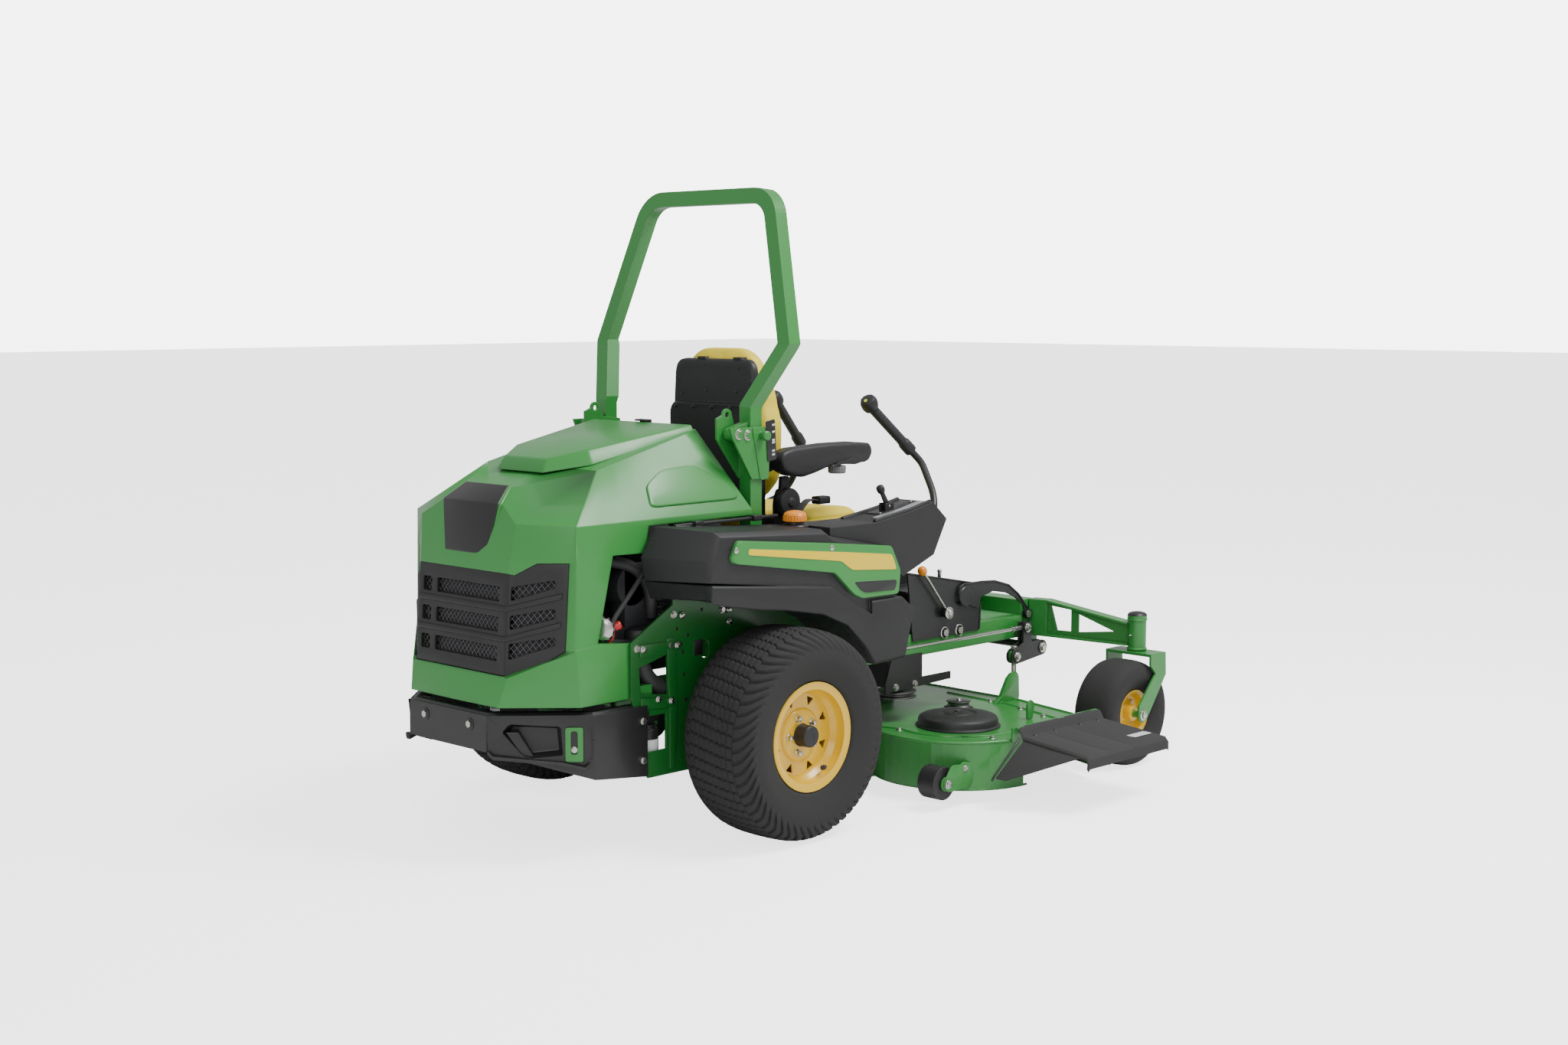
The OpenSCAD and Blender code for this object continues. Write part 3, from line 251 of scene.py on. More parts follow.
@dataclass(frozen=True)
class Finish:
    """One finish of the machine, made into a material when it is first used."""

    name: str
    light: Tone
    dark: Tone
    rough: float = 0.4
    rough_spread: float = 0.08
    metallic: float = 0.0
    coat: float = 0.0
    coat_rough: float = 0.18
    edge: float = 0.002
    worn: Tone = (0.3, 0.3, 0.3)
    wear: float = 0.15
    grain: float = 600.0
    cells: float = 0.0
    bump: float = 0.02
    relief: float = 0.0005
    dust: float = 0.05
    dust_tone: Tone = (0.32, 0.30, 0.26)
    sheen: float = 0.0
    patch: float = 3.0

    def material(self) -> bpy.types.Material:
        """Makes the material, or returns the one already made.

        Returns:
            The material of this finish.
        """
        old = bpy.data.materials.get(self.name)
        if old:
            return old
        mat = bpy.data.materials.new(self.name)
        mat.use_nodes = True
        net = Net(mat.node_tree)
        shader = net.tree.nodes["Principled BSDF"]
        for key, value in (("Metallic", self.metallic), ("Coat Weight", self.coat),
                           ("Coat Roughness", self.coat_rough), ("Sheen Weight", self.sheen)):
            shader.inputs[key].default_value = value
        soft = net.node("Group", {"Radius": self.edge}, node_tree=EFFECTS.soft_edge)
        grain = net.node("Group", {"Scale": self.grain, "Cells": self.cells}, node_tree=EFFECTS.grain)
        tone = net.node("Group", {"Scale": self.patch, "Wear": self.wear, "Light": (*self.light, 1),
                                  "Dark": (*self.dark, 1), "Worn": (*self.worn, 1)}, node_tree=EFFECTS.drift)
        dust = net.node("Group", {"Amount": self.dust}, node_tree=EFFECTS.dust)
        film = net.node("Mix", {7: (*self.dust_tone, 1)}, data_type="RGBA")
        rough = net.node("MapRange", {"To Min": self.rough - self.rough_spread,
                                      "To Max": self.rough + self.rough_spread})
        bump = net.node("Bump", {"Strength": self.bump, "Distance": self.relief})
        net.wire((soft, "Edge", tone, "Edge"), (tone, "Color", film, 6), (dust, "Mask", film, 0),
                 (film, 2, shader, "Base Color"), (grain, "Mask", rough, "Value"),
                 (rough, "Result", shader, "Roughness"), (grain, "Height", bump, "Height"),
                 (soft, "Normal", bump, "Normal"), (bump, "Normal", shader, "Normal"))
        return mat


GREEN = Finish("green_enamel", (0.030, 0.245, 0.040), (0.024, 0.215, 0.033), rough=0.36, coat=0.3, edge=0.004,
               worn=(0.10, 0.36, 0.12), wear=0.25, grain=90, bump=0.03, relief=0.0006)
PANEL_GREEN = Finish("panel_green", (0.036, 0.27, 0.048), (0.030, 0.235, 0.040), rough=0.40, coat=0.25, edge=0.006,
                     worn=(0.12, 0.38, 0.14), wear=0.25, grain=70, bump=0.03, relief=0.0006, dust=0.02)
DEEP_GREEN = Finish("deep_green", (0.008, 0.125, 0.017), (0.006, 0.10, 0.013), rough=0.34, coat=0.4, edge=0.002,
                    worn=(0.03, 0.22, 0.05), wear=0.3, grain=120, bump=0.04)
FLOOR_GREEN = Finish("floor_green", (0.10, 0.33, 0.12), (0.08, 0.28, 0.10), rough=0.32, coat=0.5, grain=150, bump=0.05)
COAT_BLACK = Finish("black_coat", (0.012, 0.012, 0.013), (0.008, 0.008, 0.009), rough=0.42, coat=0.15, edge=0.003,
                    worn=(0.09, 0.09, 0.09), wear=0.3, grain=420, bump=0.12)
PLASTIC = Finish("moulded_black", (0.015, 0.015, 0.017), (0.011, 0.011, 0.012), rough=0.50, edge=0.006,
                 worn=(0.06, 0.06, 0.06), wear=0.3, grain=900, cells=0.5, bump=0.16, relief=0.0004)
RUBBER = Finish("tyre_rubber", (0.014, 0.014, 0.015), (0.009, 0.009, 0.010), rough=0.66, edge=0.003,
                worn=(0.05, 0.05, 0.05), wear=0.4, grain=500, bump=0.2, dust=0.10, patch=12)
FLAP = Finish("chute_rubber", (0.015, 0.015, 0.016), (0.010, 0.010, 0.011), rough=0.52, edge=0.004,
              worn=(0.07, 0.07, 0.07), wear=0.3, grain=350, bump=0.18, patch=9)
YELLOW = Finish("wheel_yellow", (0.80, 0.49, 0.0), (0.74, 0.44, 0.0), rough=0.30, coat=0.55, edge=0.003,
                worn=(0.9, 0.72, 0.15), wear=0.3, grain=110, bump=0.03)
VINYL = Finish("seat_vinyl", (0.80, 0.56, 0.0), (0.74, 0.51, 0.0), rough=0.44, edge=0.004,
               worn=(0.85, 0.68, 0.12), wear=0.2, grain=420, cells=0.75, bump=0.30, relief=0.0006, dust=0.0)
PLATED = Finish("zinc_plate", (0.62, 0.61, 0.57), (0.50, 0.49, 0.46), rough=0.24, metallic=1.0, edge=0.001,
                worn=(0.8, 0.8, 0.78), wear=0.2, grain=300, bump=0.05)
STEEL = Finish("dark_steel", (0.20, 0.20, 0.20), (0.12, 0.12, 0.12), rough=0.38, metallic=0.9, edge=0.001,
               worn=(0.5, 0.5, 0.5), wear=0.3, grain=260, bump=0.08)
IRON = Finish("engine_iron", (0.022, 0.022, 0.024), (0.012, 0.012, 0.013), rough=0.55, metallic=0.2, edge=0.003,
              worn=(0.12, 0.12, 0.12), wear=0.3, grain=240, bump=0.35)
ORANGE = Finish("cap_orange", (0.86, 0.23, 0.008), (0.80, 0.19, 0.006), rough=0.36, coat=0.2, edge=0.003,
                worn=(0.95, 0.42, 0.08), wear=0.3, grain=500, bump=0.1)
GREY = Finish("grey_knob", (0.22, 0.22, 0.23), (0.17, 0.17, 0.18), rough=0.4, grain=500, bump=0.1)
LIME = Finish("button_lime", (0.62, 0.72, 0.03), (0.55, 0.66, 0.02), rough=0.3, coat=0.3, grain=500)
RED = Finish("red_cap", (0.55, 0.015, 0.015), (0.45, 0.01, 0.01), rough=0.35, coat=0.2)
HOSE = Finish("hose_black", (0.03, 0.03, 0.032), (0.02, 0.02, 0.022), rough=0.6, grain=300, bump=0.15)
LABEL = Finish("blank_label", (0.72, 0.74, 0.76), (0.66, 0.68, 0.70), rough=0.45, wear=0.0, bump=0.01)
STRIPE = Finish("stripe_yellow", (0.84, 0.60, 0.0), (0.80, 0.56, 0.0), rough=0.35, coat=0.3, wear=0.0, bump=0.01)
WEB = Finish("belt_webbing", (0.025, 0.025, 0.027), (0.018, 0.018, 0.02), rough=0.8, grain=700, bump=0.4, sheen=0.3)
SILVER = Finish("silver_strip", (0.55, 0.56, 0.58), (0.46, 0.47, 0.49), rough=0.33, metallic=0.7, bump=0.04)


# ---------- making shapes ----------


def lerp(a: P3, b: P3, t: float) -> Vector:
    """The point a share t of the way from a to b."""
    return Vector(a).lerp(Vector(b), t)


def mirrored(points: Iterable[P3]) -> list[Vector]:
    """Points with their Y turned round."""
    return [Vector((p[0], -p[1], p[2])) for p in points]


def arc(centre: P2, r: float, start: float, end: float, steps: int = 8) -> list[tuple[float, float]]:
    """Points on a circle in a plane.

    Args:
        centre: The circle's centre.
        r: Its radius.
        start: First angle in degrees.
        end: Last angle in degrees.
        steps: Number of spans.

    Returns:
        steps + 1 points.
    """
    angles = [math.radians(start + (end - start) * i / steps) for i in range(steps + 1)]
    return [(centre[0] + r * math.cos(a), centre[1] + r * math.sin(a)) for a in angles]


def smooth_path(points: Sequence[P3], r: float, steps: int = 6) -> list[Vector]:
    """Rounds the corners of a path.

    Args:
        points: The path's corners.
        r: Distance from a corner at which its bend starts.
        steps: Spans in each bend.

    Returns:
        The rounded path.
    """
    pts = [Vector(p) for p in points]
    out = [pts[0]]
    for a, b, c in zip(pts, pts[1:], pts[2:]):
        d1, d2 = (a - b), (c - b)
        reach = min(r, d1.length * 0.49, d2.length * 0.49)
        s, e = b + d1.normalized() * reach, b + d2.normalized() * reach
        for i in range(steps + 1):
            t = i / steps
            out.append((1 - t) ** 2 * s + 2 * t * (1 - t) * b + t * t * e)
    return out + [pts[-1]]


@dataclass
class Shape:
    """Gathers the faces of one piece in millimetres from the axle datum."""

    verts: list[Vector] = field(default_factory=list)
    faces: list[tuple[int, ...]] = field(default_factory=list)
    marks: list[int] = field(default_factory=list)
    finishes: list[Finish] = field(default_factory=list)

    def paint(self, finish: Finish) -> int:
        """Index of a finish among this piece's, added if it is new.

        Args:
            finish: The finish.

        Returns:
            Its index.
        """
        if finish not in self.finishes:
            self.finishes.append(finish)
        return self.finishes.index(finish)

    def add(self, points: Iterable[P3], faces: Iterable[Sequence[int]], finish: Finish) -> "Shape":
        """Adds points and the faces between them.

        Args:
            points: New corners.
            faces: Faces by index into the new corners.
            finish: The faces' finish.

        Returns:
            This shape.
        """
        base, mark = len(self.verts), self.paint(finish)
        self.verts += [Vector(p) for p in points]
        for f in faces:
            self.faces.append(tuple(base + i for i in f))
            self.marks.append(mark)
        return self

    def loft(self, rings: Sequence[Sequence[P3]], finish: Finish, closed: bool = True, caps: bool = True) -> "Shape":
        """Joins rings of equal length with quads.

        Args:
            rings: The rings in order.
            finish: The faces' finish.
            closed: Whether each ring closes on itself.
            caps: Whether the first and last ring are filled.

        Returns:
            This shape.
        """
        count = len(rings[0])
        pts = [p for ring in rings for p in ring]
        faces: list[Sequence[int]] = []
        for i in range(len(rings) - 1):
            for j in range(count if closed else count - 1):
                k = (j + 1) % count
                faces.append((i * count + j, i * count + k, (i + 1) * count + k, (i + 1) * count + j))
        if caps:
            faces.append(tuple(range(count - 1, -1, -1)))
            faces.append(tuple((len(rings) - 1) * count + j for j in range(count)))
        return self.add(pts, faces, finish)

    def side(self, outline: Sequence[P2], y0: float, y1: float, finish: Finish) -> "Shape":
        """Extrudes an outline in X and Z from y0 to y1."""
        return self.loft([[(p[0], y, p[1]) for p in outline] for y in (y0, y1)], finish)

    def flat(self, outline: Sequence[P2], z0: float, z1: float, finish: Finish) -> "Shape":
        """Extrudes an outline in X and Y from z0 to z1."""
        return self.loft([[(p[0], p[1], z) for p in outline] for z in (z0, z1)], finish)

    def cross(self, outline: Sequence[P2], x0: float, x1: float, finish: Finish) -> "Shape":
        """Extrudes an outline in Y and Z from x0 to x1."""
        return self.loft([[(x, p[0], p[1]) for p in outline] for x in (x0, x1)], finish)

    def box(self, x: P2, y: P2, z: P2, finish: Finish) -> "Shape":
        """Adds a block between two corners."""
        return self.side([(x[0], z[0]), (x[1], z[0]), (x[1], z[1]), (x[0], z[1])], y[0], y[1], finish)

    def lathe(self, profile: Sequence[P2], centre: P3, axis: P3, finish: Finish, sides: int = 48,
              caps: bool = True) -> "Shape":
        """Turns a profile of radius and height about an axis.

        Args:
            profile: Radius and height pairs from one end to the other.
            centre: Where height is zero.
            axis: Direction of height.
            finish: The faces' finish.
            sides: Spans round the axis.
            caps: Whether the ends are filled.

        Returns:
            This shape.
        """
        w = Vector(axis).normalized()
        u = w.orthogonal().normalized()
        v = w.cross(u)
        c = Vector(centre)
        rings = [[c + w * h + (u * math.cos(t) + v * math.sin(t)) * r
                  for t in (2 * math.pi * k / sides for k in range(sides))] for r, h in profile]
        return self.loft(rings, finish, caps=caps)

    def rod(self, a: P3, b: P3, r: float, finish: Finish, sides: int = 24, soft: float = 1.0) -> "Shape":
        """Adds a straight bar with eased ends.

        Args:
            a: One end.
            b: The other end.
            r: The radius.
            finish: The faces' finish.
            sides: Spans round the bar.
            soft: How far the ends are eased.

        Returns:
            This shape.
        """
        length = (Vector(b) - Vector(a)).length
        e = min(soft, r * 0.4, length * 0.3)
        return self.lathe([(r - e, 0), (r, e), (r, length - e), (r - e, length)], a, Vector(b) - Vector(a), finish,
                          sides)

    def tube(self, path: Sequence[P3], r: float, finish: Finish, sides: int = 16,
             widen: Optional[Callable[[float], float]] = None) -> "Shape":
        """Sweeps a circle along a path.

        Args:
            path: The path's points.
            r: The radius.
            finish: The faces' finish.
            sides: Spans round the tube.
            widen: Radius as a share of r, from the share of the path.

        Returns:
            This shape.
        """
        pts = [Vector(p) for p in path]
        up = Vector((0.0, 0.0, 1.0)) if abs((pts[1] - pts[0]).normalized().z) < 0.9 else Vector((1.0, 0.0, 0.0))
        rings = []
        for i, p in enumerate(pts):
            t = (pts[min(i + 1, len(pts) - 1)] - pts[max(i - 1, 0)]).normalized()
            u = (up - t * up.dot(t)).normalized()
            up = u
            v = t.cross(u)
            k = r * (widen(i / (len(pts) - 1)) if widen else 1.0)
            rings.append([p + (u * math.cos(a) + v * math.sin(a)) * k
                          for a in (2 * math.pi * j / sides for j in range(sides))])
        return self.loft(rings, finish)

    def bolt(self, p: P3, axis: P3, r: float = 9.0, finish: Optional[Finish] = None) -> "Shape":
        """Adds a flanged hexagon head that stands on a face.

        Args:
            p: The point on the face.
            axis: The way the head stands.
            r: Half its width.
            finish: Its finish, zinc plate unless given.

        Returns:
            This shape.
        """
        f = finish or PLATED
        self.lathe([(r * 1.32, 0), (r * 1.32, 1.2), (r * 1.2, 2.2), (r * 0.98, 2.4)], p, axis, f, 20)
        return self.lathe([(r, 2.2), (r, 6.4), (r * 0.86, 7.6), (r * 0.5, 7.9)], p, axis, f, 6)

    def both(self) -> "Shape":
        """Adds the mirror image of everything so far.

        Returns:
            This shape.
        """
        n, faces, marks = len(self.verts), list(self.faces), list(self.marks)
        self.verts += mirrored(self.verts)
        self.faces += [tuple(reversed([i + n for i in f])) for f in faces]
        self.marks += marks
        return self

    def handed(self, side: Side, drawn: Side = Side.LEFT) -> "Shape":
        """Mirrors the shape in place unless it is drawn on the side asked for.

        Args:
            side: The side asked for.
            drawn: The side it is drawn on.

        Returns:
            This shape.
        """
        if side is not drawn:
            self.verts = mirrored(self.verts)
            self.faces = [tuple(reversed(f)) for f in self.faces]
        return self

    def build(self, name: str, body: str, slot: str, *nodes: str, weld: bool = True, **dress: float) -> Piece:
        """Makes the piece and joins it to its body.

        Args:
            name: The piece's name.
            body: The CAD body it rides on.
            slot: The record's material slot, which is passed on but not used.
            nodes: CAD nodes that it stands for.
            weld: Whether points that coincide are joined.

        Returns:
            The finished object.
        """
        mesh = bpy.data.meshes.new(name)
        mesh.from_pydata([at(*v) for v in self.verts], [], self.faces)
        for f in self.finishes:
            mesh.materials.append(f.material())
        mesh.polygons.foreach_set("material_index", self.marks)
        bm = bmesh.new()
        bm.from_mesh(mesh)
        if weld:
            bmesh.ops.remove_doubles(bm, verts=bm.verts, dist=0.00002)
        bmesh.ops.recalc_face_normals(bm, faces=bm.faces)
        bm.to_mesh(mesh)
        bm.free()
        obj = bpy.data.objects.new(name, mesh)
        bpy.context.scene.collection.objects.link(obj)
        return self.finish(obj, body, slot, *nodes, **dress)

    @staticmethod
    def finish(obj: Piece, body: str, slot: str, *nodes: str, bevel: float = 0.0, angle: float = 32.0,
               smooth: float = 35.0) -> Piece:
        """Eases edges and shades an object that is already made, joins it to its body and hides the CAD nodes it stands
        for.

        Args:
            obj: The object.
            body: The CAD body it rides on.
            slot: The record's material slot, which is not used.
            nodes: CAD nodes that it stands for.
            bevel: Width of the eased edges in millimetres.
            angle: Edges sharper than this are eased.
            smooth: Faces that meet at less than this are shaded as one.

        Returns:
            The same object.
        """
        if bevel:
            mod = obj.modifiers.new("eased", "BEVEL")
            mod.width, mod.segments, mod.limit_method = bevel * MM, 3, "ANGLE"
            mod.angle_limit, mod.miter_outer = math.radians(angle), "MITER_ARC"
            bake_modifiers(obj)
        obj.data.shade_smooth()
        obj.data.set_sharp_from_angle(angle=math.radians(smooth))
        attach(obj, body)
        if nodes:
            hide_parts(*nodes)
        return obj


def bake_modifiers(obj: Piece) -> None:
    """Applies an object's modifiers to its mesh.

    Args:
        obj: The object.
    """
    graph = bpy.context.evaluated_depsgraph_get()
    mesh = bpy.data.meshes.new_from_object(obj.evaluated_get(graph))
    obj.modifiers.clear()
    obj.data = mesh


def plate(shape: Shape, outline: Sequence[P2], holes: Sequence[Sequence[P2]], thick: float,
          place: Callable[[float, float, float], P3], finish: Finish) -> Shape:
    """Adds a flat plate pierced by holes.

    Args:
        shape: The shape that takes the plate.
        outline: The plate's edge.
        holes: The edges of its holes.
        thick: Its thickness.
        place: Puts a point of the outline plane and its depth into space.
        finish: The plate's finish.

    Returns:
        The same shape.
    """
    curve = bpy.data.curves.new("cut", "CURVE")
    curve.dimensions, curve.fill_mode, curve.extrude = "2D", "BOTH", thick / 2
    for loop in (outline, *holes):
        spline = curve.splines.new("POLY")
        spline.points.add(len(loop) - 1)
        spline.use_cyclic_u = True
        for point, (u, v) in zip(spline.points, loop):
            point.co = (u, v, 0, 1)
    carrier = bpy.data.objects.new("cut", curve)
    mesh = bpy.data.meshes.new_from_object(carrier)
    shape.add([place(v.co.x, v.co.y, v.co.z + thick / 2) for v in mesh.vertices],
              [tuple(p.vertices) for p in mesh.polygons], finish)
    bpy.data.objects.remove(carrier)
    bpy.data.curves.remove(curve)
    bpy.data.meshes.remove(mesh)
    return shape


def curve_through(points: Sequence[P2], count: int) -> list[tuple[float, float]]:
    """Evenly spaced points on a smooth curve through the given ones.

    Args:
        points: Points that the curve passes.
        count: Number of points to return.

    Returns:
        Points from the first to the last.
    """
    pts = [Vector(p) for p in points]
    dense: list[Vector] = []
    for i in range(len(pts) - 1):
        p0, p1, p2, p3 = pts[max(i - 1, 0)], pts[i], pts[i + 1], pts[min(i + 2, len(pts) - 1)]
        for k in range(20):
            t = k / 20
            dense.append(0.5 * (2 * p1 + (p2 - p0) * t + (2 * p0 - 5 * p1 + 4 * p2 - p3) * t * t
                                + (3 * p1 - p0 - 3 * p2 + p3) * t ** 3))
    dense.append(pts[-1])
    reach = [0.0]
    for a, b in zip(dense, dense[1:]):
        reach.append(reach[-1] + (b - a).length)
    out, j = [], 0
    for k in range(count):
        want = reach[-1] * k / (count - 1)
        while j < len(reach) - 2 and reach[j + 1] < want:
            j += 1
        t = (want - reach[j]) / max(reach[j + 1] - reach[j], 1e-9)
        out.append(tuple(dense[j].lerp(dense[j + 1], min(max(t, 0), 1))))
    return out


def step(x: float, low: float, high: float) -> float:
    """Smooth step from 0 at low to 1 at high.

    Args:
        x: The value.
        low: Where the step starts.
        high: Where it ends.

    Returns:
        A share from 0 to 1.
    """
    t = min(max((x - low) / (high - low), 0.0), 1.0)
    return t * t * (3 - 2 * t)


@dataclass
class Tread:
    """Turf tread: shingled blocks on the crown and curved lugs on the shoulders."""

    pitches: int = 56
    per_pitch: int = 14
    depth: float = 7.5
    crown: float = 92.0
    column: float = 23.0
    lug_end: float = 268.0

    def height(self, turn: float, y: float, r: float) -> float:
        """Height of the rubber under the tread's outer surface.

        Args:
            turn: Place round the tyre in pitches.
            y: Distance from the tyre's middle.
            r: Radius of the outer surface there.

        Returns:
            A depth from 0 on a block to the tread's depth in a groove.
        """
        if abs(y) < self.crown:
            place = (y + self.crown) / self.column
            q = place - math.floor(place)
            wave = 0.30 * math.sqrt(max(0.0, 1 - (2 * q - 1) ** 2))
            phase = (turn + 0.10 * place + wave) % 1.0
            row = 1 - step(min(phase, 1 - phase), 0.05, 0.12)
            tilt = 0.18 * phase
            line = 0.75 * (1 - step(min(q, 1 - q) * self.column, 0.5, 2.6))
            return self.depth * min(1.0, max(row, line) + tilt)
        span = min((abs(y) - self.crown) / 48.0 + max(0.0, (312.0 - r) / 60.0) * (abs(y) > 118), 1.6)
        phase = (turn + 0.10 * 2 * self.crown / self.column * (y > 0) + 0.55 * span * span + 0.15 * span) % 1.0
        groove = 1 - step(min(phase, 1 - phase), 0.08 + 0.05 * span, 0.19 + 0.05 * span)
        edge = 0.8 * (1 - step(abs(y) - self.crown, 0.5, 2.5))
        fade = step(r, self.lug_end, self.lug_end + 16)
        return self.depth * (max(groove, edge) * fade + (1 - fade) * 0.55)


@dataclass
class DriveWheel:
    """A drive wheel with its turf tyre, pierced disc, hub cap and lug bolts."""

    side: Side
    tread: Tread = field(default_factory=Tread)
    disc: float = -62.0
    windows: int = 8
    lugs: int = 5
    lug_circle: float = 57.0

    def __post_init__(self) -> None:
        """Takes the wheel's place from its rim."""
        low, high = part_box(f"rim_{self.side.word}")
        middle = ((low + high) / 2 - DATUM) / MM
        self.centre = Vector((0.0, -abs(middle.y), middle.z))
        self.body = f"wheel_{self.side.word}"

    def tyre(self) -> Piece:
        """Builds the tyre with its tread.

        Returns:
            The tyre.
        """
        half = [(172, 111), (176, 119.5), (186, 126), (232, 141), (259, 144), (285, 141), (306, 129), (319, 108),
                (326, 84), (329, 50), (330, 0)]
        run = curve_through([(r, -y) for r, y in half] + [(r, y) for r, y in half[-2::-1]], 150)
        count = self.tread.pitches * self.tread.per_pitch
        rings = []
        for r, y in run:
            ring = []
            for k in range(count):
                deep = self.tread.height(k / self.tread.per_pitch, y, r) if r > 235 else 4.1 * step(r, 180, 235)
                a = 2 * math.pi * k / count
                shrink = (r - deep) / r
                sink = deep * 0.35 * step(abs(y), 100, 140) * (1 if y < 0 else -1)
                ring.append(self.centre + Vector((math.cos(a) * r * shrink, y + sink, math.sin(a) * r * shrink)))
            rings.append(ring)
        shape = Shape().loft(rings, RUBBER, caps=False).handed(self.side, Side.RIGHT)
        return shape.build(f"drive_tyre_{self.side.word}", self.body, "tyre_rubber", f"tyre_{self.side.word}",
                           smooth=50)

    def rim(self) -> Piece:
        """Builds the stepped barrel and its pierced disc.

        Returns:
            The rim.
        """
        shape, axis = Shape(), TO_LEFT
        outer = [(146, -114), (158, -115.5), (166, -117), (169, -118.6), (170.6, -118.2), (171, -116), (170, -112.5),
                 (168, -111), (153.5, -110.6), (152, -109), (152, -88), (147, -80), (134, -70), (131, -66), (131, 62),
                 (136, 70), (152, 84), (152, 110), (168, 111), (171, 115), (169, 118.6), (160, 117), (150, 112),
                 (147, 84), (132, 68), (127.5, 60), (127.5, -64), (130, -69), (143, -79), (147, -87), (147.5, -106)]
        shape.lathe(outer + [outer[0]], self.centre, axis, YELLOW, 96, caps=False)
        holes = []
        for i in range(self.windows):
            a = math.radians(i * 360 / self.windows + 22)
            tri = [(92, 0), (120, 16), (120, -16)]
            soft = smooth_path([(*((Vector(tri[2]) + Vector(tri[0])) / 2), 0), (*tri[0], 0), (*tri[1], 0), (*tri[2], 0),
                                (*((Vector(tri[2]) + Vector(tri[0])) / 2), 0)], 5, 3)[:-1]
            holes.append([(p.x * math.cos(a) - p.y * math.sin(a), p.x * math.sin(a) + p.y * math.cos(a)) for p in soft])
        rim_edge = arc((0, 0), 127.6, 0, 360 - 360 / 96, 95)
        cx, cy, cz = self.centre
        plate(shape, rim_edge, [*holes, arc((0, 0), 84, 0, 356, 60)], 5.0,
              lambda u, v, w: (cx + u, cy + self.disc + w, cz + v), YELLOW)
        shape.lathe([(84.2, 0), (82, -2.5), (78, -7), (74, -8.5), (20, -8.5), (20, -3), (76, -3), (80, 2), (84.2, 5)],
                    self.centre + Vector((0, self.disc, 0)), axis, YELLOW, 72, caps=False)
        return shape.handed(self.side, Side.RIGHT).build(f"drive_rim_{self.side.word}", self.body, "yellow_paint",
                                                         f"rim_{self.side.word}", smooth=28)

    def hub(self) -> Piece:
        """Builds the hub cap, the lug bolts, the shaft and the valve.

        Returns:
            The hub.
        """
        shape, axis = Shape(), Vector(TO_RIGHT)
        face = self.centre + Vector((0, self.disc - 8.5, 0))
        shape.lathe([(36, -4), (36, 2), (34, 4), (34, 37), (33, 41), (30, 43.5), (12, 44.5), (11, 43), (0.5, 43)],
                    face, axis, PLASTIC, 40)
        for i in range(self.lugs):
            a = math.radians(90 + 18 + i * 360 / self.lugs)
            p = face + Vector((math.cos(a), 0, math.sin(a))) * self.lug_circle
            shape.lathe([(12.5, 0), (11, 3), (10, 4)], p, axis, PLATED, 24)
            shape.lathe([(9.6, 3.5), (9.6, 11), (8, 14), (4, 15.5)], p, axis, PLATED, 6)
        shape.rod(self.centre + Vector((0, self.disc + 6, 0)), self.centre + Vector((0, 239, 0)), 17.4, STEEL)
        shape.lathe([(76, 8), (76, 22), (40, 24), (30, 60)], self.centre + Vector((0, self.disc, 0)), -axis, STEEL)
        a = math.radians(-58)
        root = self.centre + Vector((math.cos(a) * 131, -92, math.sin(a) * 131))
        tip = root + Vector((-math.cos(a) * 10, -20, -math.sin(a) * 10))
        shape.rod(root, root.lerp(tip, 0.6), 8.0, HOSE, 18)
        shape.rod(root.lerp(tip, 0.5), tip, 5.0, HOSE, 14)
        return shape.handed(self.side, Side.RIGHT).build(f"drive_hub_{self.side.word}", self.body, "bright_steel",
                                                         f"hub_{self.side.word}", smooth=30)

    def make(self) -> list[Piece]:
        """Builds the whole wheel."""
        return [self.tyre(), self.rim(), self.hub()]


